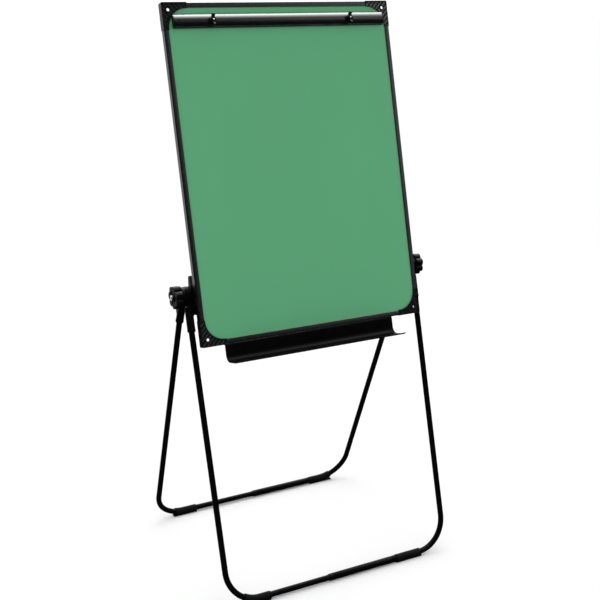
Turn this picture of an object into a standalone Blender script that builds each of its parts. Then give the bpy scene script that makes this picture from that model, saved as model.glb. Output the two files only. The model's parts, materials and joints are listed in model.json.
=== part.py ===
"""Folding U-stand easel: a framed writing board with a flip-chart clamp and a pen tray, on two hinged U legs.

Metres, +Z up, X across the board and -Y towards the writer. The floor is Z = 0, X = 0 is the middle of the
board and Y = 0 is the middle of the footprint.

Board pieces are modelled in board space: x across, y up from the board's lower edge, z forward out of the
board's face. Leg pieces are modelled in leg space: x across, y towards the rear and z up along the leg, with
the hinge axis at the origin.
"""

import math
from collections import namedtuple

import bmesh
import bpy
from mathutils import Matrix, Vector

# Driving dimensions, in metres and degrees.
BOARD_WIDTH = 0.700
BOARD_HEIGHT = 0.914
BOARD_LEAN = 13.8
HINGE_HEIGHT = 0.8305
HINGE_UP_BOARD = 0.141
HINGE_BEHIND_FACE = 0.0532
FRONT_LEG_LEAN = 15.3
REAR_LEG_LEAN = 21.8
FRONT_LEG_OFFSET = -0.0168
REAR_LEG_OFFSET = 0.0142

TUBE_RADIUS = 0.00825
TUBE_WALL = 0.0013
BEND_RADIUS = 0.093
FRONT_TOP_X = 0.3627
REAR_TOP_X = 0.3597
FRONT_BASE_X = 0.3580
REAR_BASE_X = 0.3430
BASE_HEIGHT = 0.012

RAIL_FACE = 0.0140
RAIL_DEPTH = 0.0165
RAIL_WALL = 0.0015
GROOVE_START = 0.0060
GROOVE_FRONT = 0.0020
GROOVE_BACK = 0.0125
CHAMBER = (0.0015, 0.0045)
CORNER_ARM = 0.072
CORNER_PROUD = 0.0010
CORNER_ARC = 0.0535
PANEL_CHAMFER = 0.041
SHEET_FACE = 0.0023

GAP = 0.0003
ROUND = 20
SMALL_ROUND = 12
CUT_MARGIN = 0.004

# Places worked out from the driving dimensions.
RAIL_INNER = CORNER_ARM + GAP


def leg_length(lean_deg, offset):
    """Distance down the leg from the hinge to the middle of its base bar."""
    lean = math.radians(lean_deg)
    return (HINGE_HEIGHT - BASE_HEIGHT + abs(offset) * math.sin(lean)) / math.cos(lean)


def base_reach(lean_deg, offset):
    """Horizontal distance from the hinge to the base bar."""
    lean = math.radians(lean_deg)
    return abs(offset) * math.cos(lean) + leg_length(lean_deg, offset) * math.sin(lean)


FRONT_LENGTH = leg_length(FRONT_LEG_LEAN, FRONT_LEG_OFFSET)
REAR_LENGTH = leg_length(REAR_LEG_LEAN, REAR_LEG_OFFSET)
FRONT_REACH = base_reach(FRONT_LEG_LEAN, FRONT_LEG_OFFSET)
REAR_REACH = base_reach(REAR_LEG_LEAN, REAR_LEG_OFFSET)
HINGE_Y = (FRONT_REACH - REAR_REACH) / 2
HINGE = Vector((0, HINGE_Y, HINGE_HEIGHT))

BOARD_TURN = math.radians(90 - BOARD_LEAN)
FRONT_TURN = math.radians(-FRONT_LEG_LEAN)
REAR_TURN = math.radians(REAR_LEG_LEAN)
BOARD_ORIGIN = Vector((0, -HINGE_UP_BOARD, HINGE_BEHIND_FACE))

# Planes for flat outlines: the outline's own x and y, and the way that it is thickened.
PLANE_XY = Matrix.Identity(4)
PLANE_YZ = Matrix(((0, 0, 1, 0), (1, 0, 0, 0), (0, 1, 0, 0), (0, 0, 0, 1)))
PLANE_ZY = Matrix(((0, 0, 1, 0), (0, 1, 0, 0), (-1, 0, 0, 0), (0, 0, 0, 1)))
PLANE_ZX = Matrix(((0, 1, 0, 0), (0, 0, 1, 0), (1, 0, 0, 0), (0, 0, 0, 1)))

for leftover in list(bpy.data.objects):
    bpy.data.objects.remove(leftover)

PARTS = bpy.data.collections.new("u_stand_easel")
CUTTERS = bpy.data.collections.new("cutters")
bpy.context.scene.collection.children.link(PARTS)
bpy.context.scene.collection.children.link(CUTTERS)


def material(name, colour, roughness, metallic):
    finish = bpy.data.materials.new(name)
    finish.use_nodes = True
    shader = finish.node_tree.nodes["Principled BSDF"]
    shader.inputs["Base Color"].default_value = (*colour, 1)
    shader.inputs["Roughness"].default_value = roughness
    shader.inputs["Metallic"].default_value = metallic
    return finish


BLACK_ALUMINIUM = material("black_aluminium", (0.012, 0.011, 0.012), 0.35, 0.6)
BLACK_PLASTIC = material("black_plastic", (0.010, 0.010, 0.011), 0.5, 0.0)
BLACK_STEEL = material("black_painted_steel", (0.006, 0.006, 0.007), 0.3, 0.0)
GREEN_STEEL = material("green_writing_steel", (0.102, 0.342, 0.176), 0.55, 0.0)
BACK_STEEL = material("grey_back_sheet", (0.45, 0.46, 0.47), 0.45, 0.8)
FIBREBOARD = material("fibreboard", (0.42, 0.30, 0.18), 0.85, 0.0)
ZINC = material("zinc_plated_steel", (0.72, 0.73, 0.74), 0.25, 1.0)
NYLON = material("black_nylon", (0.02, 0.02, 0.02), 0.6, 0.0)
RUBBER = material("black_rubber", (0.008, 0.008, 0.008), 0.8, 0.0)


def empty(name, place, turn):
    marker = bpy.data.objects.new(name, None)
    marker.location = place
    marker.rotation_euler = (turn, 0, 0)
    PARTS.objects.link(marker)
    return marker


BOARD_HINGE = empty("board_hinge", HINGE, BOARD_TURN)

Leg = namedtuple("Leg", "name hinge turn offset length top_x base_x disc")


def piece(name, mesh, finish, parent, place=(0, 0, 0)):
    """One sub-part: its own object, smooth where it is round."""
    mesh.name = name
    mesh.shade_smooth()
    mesh.set_sharp_from_angle(angle=math.radians(35))
    mesh.materials.clear()
    mesh.materials.append(finish)
    made = bpy.data.objects.new(name, mesh)
    made.parent = parent
    made.location = place
    PARTS.objects.link(made)
    return made


def combine(target, mesh, operation):
    """Cuts a mesh from the target, or joins it on, with a Boolean. The mesh is in the target's own space."""
    helper = bpy.data.objects.new(f"{target.name}_{operation.lower()}", mesh)
    helper.parent = target
    helper.hide_render = True
    helper.display_type = "WIRE"
    CUTTERS.objects.link(helper)
    change = target.modifiers.new(operation.title(), "BOOLEAN")
    change.operation = operation
    change.solver = "EXACT"
    change.object = helper


def cut(target, mesh):
    combine(target, mesh, "DIFFERENCE")


def join(target, mesh):
    combine(target, mesh, "UNION")


def mesh_from(build):
    """A new mesh that the given bmesh steps fill."""
    work = bmesh.new()
    build(work)
    mesh = bpy.data.meshes.new("shape")
    work.to_mesh(mesh)
    work.free()
    return mesh


def box(low, high):
    """A box between two corners."""
    low, high = Vector(low), Vector(high)
    size = Matrix.Diagonal((*(high - low), 1))
    place = Matrix.Translation((low + high) / 2)
    return mesh_from(lambda work: bmesh.ops.create_cube(work, size=1, matrix=place @ size))


AXIS_TURNS = {
    "X": Matrix.Rotation(math.radians(90), 4, "Y"),
    "Y": Matrix.Rotation(math.radians(-90), 4, "X"),
    "Z": Matrix.Identity(4),
}


def cylinder(start, length, radius, axis, sides=ROUND):
    """A cylinder from a point, along +axis, or along -axis where the length is negative."""
    middle = {"X": (length / 2, 0, 0), "Y": (0, length / 2, 0), "Z": (0, 0, length / 2)}[axis]
    place = Matrix.Translation(Vector(start) + Vector(middle)) @ AXIS_TURNS[axis]
    return mesh_from(
        lambda work: bmesh.ops.create_cone(
            work, cap_ends=True, segments=sides, radius1=radius, radius2=radius, depth=abs(length), matrix=place
        )
    )


def mesh_of_curve(curve):
    """The closed mesh of a curve, its caps welded on."""
    holder = bpy.data.objects.new("outline", curve)
    bpy.context.scene.collection.objects.link(holder)
    bpy.context.view_layer.update()
    mesh = bpy.data.meshes.new_from_object(holder.evaluated_get(bpy.context.evaluated_depsgraph_get()))
    bpy.data.objects.remove(holder)
    work = bmesh.new()
    work.from_mesh(mesh)
    bmesh.ops.remove_doubles(work, verts=work.verts, dist=1e-6)
    bmesh.ops.recalc_face_normals(work, faces=work.faces)
    work.to_mesh(mesh)
    work.free()
    return mesh


def prism(loops, low, high, plane=PLANE_XY):
    """A flat outline, with any holes in it, thickened from low to high across its plane."""
    curve = bpy.data.curves.new("outline", "CURVE")
    curve.dimensions = "2D"
    curve.fill_mode = "BOTH"
    curve.extrude = (high - low) / 2
    for loop in loops:
        spline = curve.splines.new("POLY")
        spline.points.add(len(loop) - 1)
        for point, (x, y) in zip(spline.points, loop):
            point.co = (x, y, 0, 1)
        spline.use_cyclic_u = True
    mesh = mesh_of_curve(curve)
    mesh.transform(plane @ Matrix.Translation((0, 0, (low + high) / 2)))
    return mesh


def arc(centre, radius, start_deg, end_deg, steps):
    """Points along an arc, ends included."""
    turns = [math.radians(start_deg + (end_deg - start_deg) * i / steps) for i in range(steps + 1)]
    return [(centre[0] + radius * math.cos(t), centre[1] + radius * math.sin(t)) for t in turns]


def rectangle(low, high):
    return [(low[0], low[1]), (high[0], low[1]), (high[0], high[1]), (low[0], high[1])]


def rod(points, radius, sides, beyond=0.0):
    """A round bar along the points, with its ends carried on by a distance."""
    route = [Vector(point) for point in points]
    first = (route[0] - route[1]).normalized() * beyond
    last = (route[-1] - route[-2]).normalized() * beyond
    route[0] += first
    route[-1] += last
    curve = bpy.data.curves.new("rod", "CURVE")
    curve.dimensions = "3D"
    curve.bevel_depth = radius
    curve.bevel_resolution = sides // 2 - 2
    curve.use_fill_caps = True
    spline = curve.splines.new("POLY")
    spline.points.add(len(route) - 1)
    for point, place in zip(spline.points, route):
        point.co = (*place, 1)
    return mesh_of_curve(curve)


def turned(name, profile, finish, parent, sides, matrix):
    """A turned piece: its profile at +X runs down the outer side and is swept round local Z.

    A profile that starts on the axis is a solid of one run. Any other closes on itself, as a ring.
    """
    work = bmesh.new()
    points = [work.verts.new((radius, 0, height)) for radius, height in profile]
    is_ring = profile[0][0] > 0
    for start, end in zip(points, points[1:] + points[:1] if is_ring else points[1:]):
        work.edges.new((start, end))
    mesh = bpy.data.meshes.new(name)
    work.to_mesh(mesh)
    work.free()
    mesh.materials.append(finish)
    made = bpy.data.objects.new(name, mesh)
    made.parent = parent
    made.matrix_local = matrix
    sweep = made.modifiers.new("Turn", "SCREW")
    sweep.axis = "Z"
    sweep.steps = sides
    sweep.render_steps = sides
    sweep.use_smooth_shade = True
    sweep.use_merge_vertices = True
    sweep.merge_threshold = 0.0001
    PARTS.objects.link(made)
    return made


def ring_profile(inner, outer, low, high):
    """A closed profile for a washer or a sleeve."""
    return [(outer, high), (outer, low), (inner, low), (inner, high)]


# --- Board ------------------------------------------------------------------------------------------


def panel_outline(inset):
    """The panel's outline, its corners cut off, at a distance in from the board's edge."""
    right = BOARD_WIDTH / 2 - inset
    low, high = inset, BOARD_HEIGHT - inset
    c = PANEL_CHAMFER
    return [
        (right - c, low), (right, low + c), (right, high - c), (right - c, high),
        (-right + c, high), (-right, high - c), (-right, low + c), (-right + c, low),
    ]  # fmt: skip


CLAMP_FROM_TOP = 0.0505
CLAMP_Y = BOARD_HEIGHT - CLAMP_FROM_TOP
PEG_X = (-0.2150, 0.2095)
STUD_RADIUS = 0.0030
CORE_FRONT = SHEET_FACE + 0.0006 + GAP
CORE_BACK = 0.0114
BACK_FRONT = CORE_BACK + GAP
BACK_BACK = 0.0122


def make_panel():
    """A coated steel writing sheet, a fibreboard core and a steel back sheet, drilled for the clamp's studs."""
    outline = panel_outline(GROOVE_START + GAP)
    layers = (
        ("writing_sheet", GREEN_STEEL, SHEET_FACE, CORE_FRONT - GAP),
        ("board_core", FIBREBOARD, CORE_FRONT, CORE_BACK),
        ("back_sheet", BACK_STEEL, BACK_FRONT, BACK_BACK),
    )
    for name, finish, front, back in layers:
        layer = piece(name, prism([outline], -back, -front), finish, BOARD_HINGE, BOARD_ORIGIN)
        through = back - front + 2 * CUT_MARGIN
        for x in PEG_X:
            cut(layer, cylinder((x, CLAMP_Y, -back - CUT_MARGIN), through, STUD_RADIUS + GAP, "Z", SMALL_ROUND))


def rail_loops():
    """The rail's section and its hollow chamber: across from its outer edge, and back from the board's face."""
    rounding = 0.0017
    chamber_front = 0.0022
    section = arc((rounding, -rounding), rounding, 180, 90, 3)
    section += [(RAIL_FACE, 0), (RAIL_FACE, -GROOVE_FRONT), (GROOVE_START, -GROOVE_FRONT)]
    section += [(GROOVE_START, -GROOVE_BACK), (RAIL_FACE, -GROOVE_BACK), (RAIL_FACE, -RAIL_DEPTH)]
    section += [(0, -RAIL_DEPTH)]
    low, high = CHAMBER
    chamber = rectangle((low, -RAIL_DEPTH + RAIL_WALL), (high, -chamber_front))
    return [section, chamber]


BRACKET_SCREW_X = 0.3395
BRACKET_SCREW_Y = (HINGE_UP_BOARD - 0.037, HINGE_UP_BOARD + 0.037)
BRACKET_SCREW_HOLE = 0.0023
BRACKET_SCREW_DEPTH = 0.0050
TRAY_LEFT = -0.285
TRAY_RIGHT = 0.252
TRAY_SCREW_X = (-0.200, -0.0165, 0.167)
TRAY_SCREW_BACK = 0.0085
TRAY_SCREW_HOLE = 0.0018
TRAY_SCREW_DEPTH = 0.0048


def make_rails():
    """Four lengths of the same aluminium section, cut square between the corner mouldings."""
    half = BOARD_WIDTH / 2
    across = half - RAIL_INNER
    for side, name in ((-1, "frame_left"), (1, "frame_right")):
        loops = [[(w, side * (half - u)) for u, w in loop] for loop in rail_loops()]
        upright = prism(loops, RAIL_INNER, BOARD_HEIGHT - RAIL_INNER, PLANE_ZX)
        rail = piece(name, upright, BLACK_ALUMINIUM, BOARD_HINGE, BOARD_ORIGIN)
        for y in BRACKET_SCREW_Y:
            start = (side * BRACKET_SCREW_X, y, -RAIL_DEPTH - CUT_MARGIN)
            cut(rail, cylinder(start, BRACKET_SCREW_DEPTH + CUT_MARGIN, BRACKET_SCREW_HOLE, "Z", SMALL_ROUND))
    for side, name in ((-1, "frame_bottom"), (1, "frame_top")):
        edge = 0 if side < 0 else BOARD_HEIGHT
        loops = [[(-w, edge - side * u) for u, w in loop] for loop in rail_loops()]
        rail = piece(name, prism(loops, -across, across, PLANE_ZY), BLACK_ALUMINIUM, BOARD_HINGE, BOARD_ORIGIN)
        if side < 0:
            for x in TRAY_SCREW_X:
                start = (x, -CUT_MARGIN, -TRAY_SCREW_BACK)
                cut(rail, cylinder(start, TRAY_SCREW_DEPTH + CUT_MARGIN, TRAY_SCREW_HOLE, "Y", SMALL_ROUND))


CORNER_HOLE = (0.0175, 0.0190)
CORNER_HOLE_RADIUS = 0.0042
CORNER_WALL = 0.0030
CORNER_INNER = 0.0152
TONGUE_LENGTH = 0.020
TONGUE_ROOT = 0.006


def corner_outline():
    """The moulding's outline in its own corner: two arms joined by a hollow arc, with a rounded outer corner."""
    inner = CORNER_INNER
    arc_centre = inner + CORNER_ARC
    p = CORNER_PROUD
    outer_round = 0.0035
    points = [(CORNER_ARM, -p), (CORNER_ARM, inner)]
    points += arc((arc_centre, arc_centre), CORNER_ARC, -90, -180, 9)
    points += [(inner, CORNER_ARM), (-p, CORNER_ARM)]
    points += arc((outer_round - p, outer_round - p), outer_round, 180, 270, 3)
    return points


def make_corner(name, side, top):
    """One corner moulding, with tongues that plug into the rails and a wall-fixing hole in its face."""

    def across(x):
        return side * (BOARD_WIDTH / 2 - x)

    def up(y):
        return BOARD_HEIGHT - y if top else y

    def at(points):
        return [(across(x), up(y)) for x, y in points]

    def block(low, high):
        xs = sorted((across(low[0]), across(high[0])))
        ys = sorted((up(low[1]), up(high[1])))
        return box((xs[0], ys[0], -high[2]), (xs[1], ys[1], -low[2]))

    p = CORNER_PROUD
    body = prism([at(corner_outline())], -RAIL_DEPTH - p, p)
    corner = piece(name, body, BLACK_PLASTIC, BOARD_HINGE, BOARD_ORIGIN)
    thin = (CHAMBER[0] + GAP, CHAMBER[1] - GAP)
    deep = (0.0028, RAIL_DEPTH - RAIL_WALL - GAP)
    tongue_end = CORNER_ARM + TONGUE_LENGTH
    root = CORNER_ARM - TONGUE_ROOT
    join(corner, block((root, thin[0], deep[0]), (tongue_end, thin[1], deep[1])))
    join(corner, block((thin[0], root, deep[0]), (thin[1], tongue_end, deep[1])))
    start = GROOVE_START
    reach = tongue_end + CUT_MARGIN
    slot = [(start + PANEL_CHAMFER, start), (reach, start), (reach, reach), (start, reach)]
    slot += [(start, start + PANEL_CHAMFER)]
    cut(corner, prism([at(slot)], -GROOVE_BACK, -GROOVE_FRONT))
    hole = (across(CORNER_HOLE[0]), up(CORNER_HOLE[1]), -RAIL_DEPTH - CUT_MARGIN)
    cut(corner, cylinder(hole, RAIL_DEPTH + 2 * CUT_MARGIN, CORNER_HOLE_RADIUS, "Z", SMALL_ROUND))
    wide = GROOVE_START + PANEL_CHAMFER - CORNER_WALL
    hollow = [(CORNER_WALL, CORNER_WALL), (wide, CORNER_WALL), (CORNER_WALL, wide)]
    cut(corner, prism([at(hollow)], -RAIL_DEPTH - CUT_MARGIN, -GROOVE_FRONT))


def make_corners():
    for top, height in ((False, "bottom"), (True, "top")):
        for side, hand in ((-1, "left"), (1, "right")):
            make_corner(f"corner_{height}_{hand}", side, top)


# --- Flip-chart clamp -------------------------------------------------------------------------------

CLAMP_HALF_LENGTH = 0.3255
CLAMP_HALF_HEIGHT = 0.019
CLAMP_BACK = 0.0012
CLAMP_DEPTH = 0.0125
CLAMP_WALL = 0.0018
CLAMP_CAP = 0.0022
NUT_BASE = CLAMP_BACK + CLAMP_DEPTH + 0.0004
NUT_HEIGHT = 0.0100
WING_HALF_THICKNESS = 0.0036


def half_oval(half_height, depth, steps):
    """Half an ellipse, bulging forward, as (forward, up) about the clamp's middle line."""
    turns = [math.radians(90 - 180 * i / steps) for i in range(steps + 1)]
    return [(depth * math.cos(t), half_height * math.sin(t)) for t in turns]


def make_clamp():
    """A half-round aluminium bar, open at the back, with a flat cap on each end."""
    outer = half_oval(CLAMP_HALF_HEIGHT, CLAMP_DEPTH, 14)
    inner = half_oval(CLAMP_HALF_HEIGHT - CLAMP_WALL, CLAMP_DEPTH - CLAMP_WALL, 14)
    section = [(CLAMP_BACK + f, CLAMP_Y + u) for f, u in outer + inner[::-1]]
    section = [(-f, u) for f, u in section]
    length = CLAMP_HALF_LENGTH - CLAMP_CAP - GAP
    bar = piece("clamp_bar", prism([section], -length, length, PLANE_ZY), BLACK_ALUMINIUM, BOARD_HINGE, BOARD_ORIGIN)
    for x in PEG_X:
        cut(bar, cylinder((x, CLAMP_Y, CLAMP_DEPTH / 2), CLAMP_DEPTH, STUD_RADIUS + GAP, "Z", SMALL_ROUND))
    cap = [(-CLAMP_BACK - f, CLAMP_Y + u) for f, u in outer]
    for side, hand in ((-1, "left"), (1, "right")):
        ends = sorted((side * (CLAMP_HALF_LENGTH - CLAMP_CAP), side * CLAMP_HALF_LENGTH))
        piece(f"clamp_end_{hand}", prism([cap], *ends, PLANE_ZY), BLACK_PLASTIC, BOARD_HINGE, BOARD_ORIGIN)


def wing_outline(side):
    """One ear of a wing nut, rising from the hub and leaning forward, as (forward, up) from its base and axis."""
    rim = [(0.0012, 0.0030), (0.0026, 0.0092), (0.0052, 0.0136), (0.0090, 0.0158), (0.0130, 0.0160)]
    rim += [(0.0152, 0.0142), (0.0146, 0.0118), (0.0112, 0.0088), (0.0094, 0.0052), (0.0088, 0.0030)]
    return [(forward, side * up) for forward, up in rim]


def make_pegs():
    """Two studs through the panel, each with a wing nut that squeezes the bar down and holds a flip chart."""
    r = STUD_RADIUS
    head = 0.0055
    tip = NUT_BASE + NUT_HEIGHT + 0.0012
    back = -BACK_BACK - GAP
    low, high = NUT_BASE, NUT_BASE + NUT_HEIGHT
    for x, hand in zip(PEG_X, ("left", "right")):
        place = Matrix.Translation(BOARD_ORIGIN + Vector((x, CLAMP_Y, 0)))
        profile = [(0, tip), (r * 0.7, tip - 0.0004), (r, tip - 0.0014), (r, back), (head, back)]
        profile += [(head, back - 0.0015), (head * 0.7, back - 0.0024), (0, back - 0.0026)]
        turned(f"peg_stud_{hand}", profile, ZINC, BOARD_HINGE, SMALL_ROUND, place)
        bore = r + GAP
        profile = [(bore, high), (0.0062, high), (0.0070, high - 0.0010), (0.0088, low + 0.0010), (0.0088, low)]
        nut = turned(f"thumb_nut_{hand}", profile + [(bore, low)], BLACK_PLASTIC, BOARD_HINGE, ROUND, place)
        for side in (-1, 1):
            ear = [(-low - forward, up) for forward, up in wing_outline(side)]
            join(nut, prism([ear], -WING_HALF_THICKNESS, WING_HALF_THICKNESS, PLANE_ZY))


# --- Pen tray ---------------------------------------------------------------------------------------

TRAY_SHEET = 0.0016
TRAY_TOP = -0.0018
TRAY_WALL = -0.0010
TRAY_FLOOR = -0.0490
TRAY_BEND = 0.0195
TRAY_FLOOR_END = 0.0555


def tray_profile():
    """The folded sheet's middle line, as (forward, up): flange, back wall, bend, floor and front lip."""
    fold = 0.0020
    lip = 0.0115
    flange_back = -0.0142
    points = [(flange_back, TRAY_TOP), (TRAY_WALL - fold, TRAY_TOP)]
    points += arc((TRAY_WALL - fold, TRAY_TOP - fold), fold, 90, 0, 3)[1:]
    points += arc((TRAY_WALL + TRAY_BEND, TRAY_FLOOR + TRAY_BEND), TRAY_BEND, 180, 270, 7)
    points += arc((TRAY_FLOOR_END, TRAY_FLOOR + lip), lip, -90, -44, 4)
    return points


def make_tray():
    """A pen tray folded from one sheet, screwed up into the bottom rail."""
    work = bmesh.new()
    points = [work.verts.new((TRAY_LEFT, up, forward)) for forward, up in tray_profile()]
    edges = [work.edges.new(pair) for pair in zip(points, points[1:])]
    swept = bmesh.ops.extrude_edge_only(work, edges=edges)["geom"]
    moved = [part for part in swept if isinstance(part, bmesh.types.BMVert)]
    bmesh.ops.translate(work, verts=moved, vec=(TRAY_RIGHT - TRAY_LEFT, 0, 0))
    sheet = bpy.data.meshes.new("tray")
    work.to_mesh(sheet)
    work.free()
    tray = piece("pen_tray", sheet, BLACK_STEEL, BOARD_HINGE, BOARD_ORIGIN)
    thicken = tray.modifiers.new("Sheet", "SOLIDIFY")
    thicken.thickness = TRAY_SHEET
    thicken.offset = 0
    thicken.use_even_offset = True
    under = TRAY_TOP - TRAY_SHEET / 2
    for index, x in enumerate(TRAY_SCREW_X):
        start = (x, TRAY_TOP - CUT_MARGIN, -TRAY_SCREW_BACK)
        cut(tray, cylinder(start, 2 * CUT_MARGIN, TRAY_SCREW_HOLE, "Y", SMALL_ROUND))
        low = under - GAP
        profile = [(0, 0.0042), (0.0015, 0.0042), (0.0015, low), (0.0033, low), (0.0031, low - 0.0012)]
        profile += [(0.0018, low - 0.0019), (0, low - 0.0020)]
        spot = BOARD_ORIGIN + Vector((x, 0, -TRAY_SCREW_BACK))
        place = Matrix.Translation(spot) @ Matrix.Rotation(math.radians(-90), 4, "X")
        turned(f"tray_screw_{index + 1}", profile, ZINC, BOARD_HINGE, SMALL_ROUND, place)


# --- Hinge ------------------------------------------------------------------------------------------

# The stack on each hinge bolt, outwards from the middle of the board.
EAR = (0.3440, 0.3485)
BOARD_WASHER = (0.3488, 0.3507)
FRONT_DISC = (0.3512, 0.3622)
LEG_WASHER = (0.3625, 0.3634)
REAR_DISC = (0.3637, 0.3747)
KNOB_WASHER = (0.3750, 0.3765)
KNOB_HUB = 0.3768
KNOB_BODY = (0.3780, 0.3970)
KNOB_NUT = (0.3920, 0.4020)
BOLT_RADIUS = 0.0040
KNOB_RADIUS = 0.0315
KNOB_LOBES = 7
KNOB_LOBE_HEIGHT = 0.0065
KNOB_POINTS = 42
HUB_RADIUS = 0.0125
NUT_RADIUS = 0.0075
DISC_RADIUS = 0.0255
BOSS_RADIUS = 0.0200
BRACKET_HALF_HEIGHT = 0.053
BRACKET_FOOT_X = 0.3362
BRACKET_FOOT = 0.0040


def make_bracket(hand, side):
    """An angle bracket: a foot screwed to the rail's back and an ear that carries the hinge bolt."""
    low, high = HINGE_UP_BOARD - BRACKET_HALF_HEIGHT, HINGE_UP_BOARD + BRACKET_HALF_HEIGHT
    back = -RAIL_DEPTH - GAP
    boss = (-HINGE_BEHIND_FACE, HINGE_UP_BOARD)
    outline = [(back, high), (back - 0.0270, high), (back - 0.0340, high - 0.0070)]
    outline += arc(boss, BOSS_RADIUS, 95, 235, 10)
    outline += [(back - 0.0200, low), (back, low)]
    ear = prism([[(-f, u) for f, u in outline]], *sorted((side * EAR[0], side * EAR[1])), PLANE_ZY)
    bracket = piece(f"board_bracket_{hand}", ear, BLACK_STEEL, BOARD_HINGE, BOARD_ORIGIN)
    across = sorted((side * BRACKET_FOOT_X, side * (EAR[1] - 0.001)))
    join(bracket, box((across[0], low + 0.0002, back - BRACKET_FOOT), (across[1], high - 0.0002, back - 0.0001)))
    bolt_at = (side * (EAR[0] - CUT_MARGIN), HINGE_UP_BOARD, -HINGE_BEHIND_FACE)
    cut(bracket, cylinder(bolt_at, side * 3 * CUT_MARGIN, BOLT_RADIUS + GAP, "X", ROUND))
    shank = 0.0020
    tip = -GROOVE_BACK - 2 * GAP
    seat = back - BRACKET_FOOT - GAP
    for index, y in enumerate(BRACKET_SCREW_Y):
        hole = (side * BRACKET_SCREW_X, y, back - BRACKET_FOOT - CUT_MARGIN)
        cut(bracket, cylinder(hole, BRACKET_FOOT + 2 * CUT_MARGIN, BRACKET_SCREW_HOLE, "Z", SMALL_ROUND))
        profile = [(0, tip), (shank, tip), (shank, seat), (0.0038, seat), (0.0036, seat - 0.0014)]
        profile += [(shank, seat - 0.0022), (0, seat - 0.0023)]
        place = Matrix.Translation(BOARD_ORIGIN + Vector((side * BRACKET_SCREW_X, y, 0)))
        turned(f"bracket_screw_{hand}_{index + 1}", profile, ZINC, BOARD_HINGE, SMALL_ROUND, place)


def outward(side):
    """Local Z of a turned piece along the hinge axis, away from the board."""
    return Matrix.Rotation(math.radians(90 * side), 4, "Y")


def knob_outline():
    """Rounded lobes, as (y, z) about the bolt."""
    points = []
    for i in range(KNOB_POINTS):
        turn = 2 * math.pi * i / KNOB_POINTS
        swell = abs(math.cos(KNOB_LOBES * turn / 2)) ** 0.8
        radius = KNOB_RADIUS - KNOB_LOBE_HEIGHT * (1 - swell)
        points.append((radius * math.cos(turn), radius * math.sin(turn)))
    return points


def make_hinge(hand, side):
    """Bolt, washers and clamping knob of one side, outwards from the board's bracket."""
    place = outward(side)
    head = 0.0042
    ear_face = EAR[0] - GAP
    tip = KNOB_NUT[1] - 0.0015
    r = BOLT_RADIUS
    profile = [(0, tip), (r - 0.0008, tip), (r, tip - 0.0008), (r, ear_face), (0.0090, ear_face)]
    profile += [(0.0082, ear_face - head * 0.5), (0.0055, ear_face - head * 0.88), (0, ear_face - head)]
    turned(f"hinge_bolt_{hand}", profile, ZINC, BOARD_HINGE, ROUND, place)
    washers = (
        ("board_washer", BOARD_WASHER, 0.0130, NYLON),
        ("leg_washer", LEG_WASHER, 0.0200, NYLON),
        ("knob_washer", KNOB_WASHER, 0.0110, ZINC),
    )
    for name, (low, high), outer, finish in washers:
        profile = ring_profile(r + GAP, outer, low, high)
        turned(f"{name}_{hand}", profile, finish, BOARD_HINGE, ROUND, place)
    low, high = sorted((side * KNOB_BODY[0], side * KNOB_BODY[1]))
    knob = piece(f"knob_{hand}", prism([knob_outline()], low, high, PLANE_YZ), BLACK_PLASTIC, BOARD_HINGE)
    soften = knob.modifiers.new("Edge", "BEVEL")
    soften.width = 0.0016
    soften.segments = 1
    soften.limit_method = "ANGLE"
    soften.angle_limit = math.radians(60)
    join(knob, cylinder((side * KNOB_HUB, 0, 0), side * CUT_MARGIN, HUB_RADIUS, "X", ROUND))
    through = KNOB_NUT[1] - KNOB_HUB + 2 * CUT_MARGIN
    start = side * (KNOB_HUB - CUT_MARGIN)
    cut(knob, cylinder((start, 0, 0), side * through, r + GAP, "X", ROUND))
    pocket = (side * (KNOB_NUT[0] - GAP), 0, 0)
    cut(knob, cylinder(pocket, side * 3 * CUT_MARGIN, NUT_RADIUS + 2 * GAP, "X", ROUND))
    nut = cylinder((side * KNOB_NUT[0], 0, 0), side * (KNOB_NUT[1] - KNOB_NUT[0]), NUT_RADIUS, "X", 6)
    nut = piece(f"knob_nut_{hand}", nut, ZINC, BOARD_HINGE)
    cut(nut, cylinder((start, 0, 0), side * through, r + GAP, "X", ROUND))


# --- Legs -------------------------------------------------------------------------------------------

SOCKET_RADIUS = 0.0110
SOCKET_TOP = -0.030
SOCKET_END = -0.098
TUBE_TOP = -0.042
NECK_REACH = 0.0106
NECK_SHOULDER = 0.0140
NECK_OUTER_DEG = 35
NECK_INNER_DEG = 80
SOCKET_SCREW_HOLE = 0.0020
COUPLER_RADIUS = 0.0100
FOOT_RADIUS = 0.0110
PAD_HALF_WIDTH = 0.0080
PAD_PAST_SLEEVE = 0.005


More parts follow.
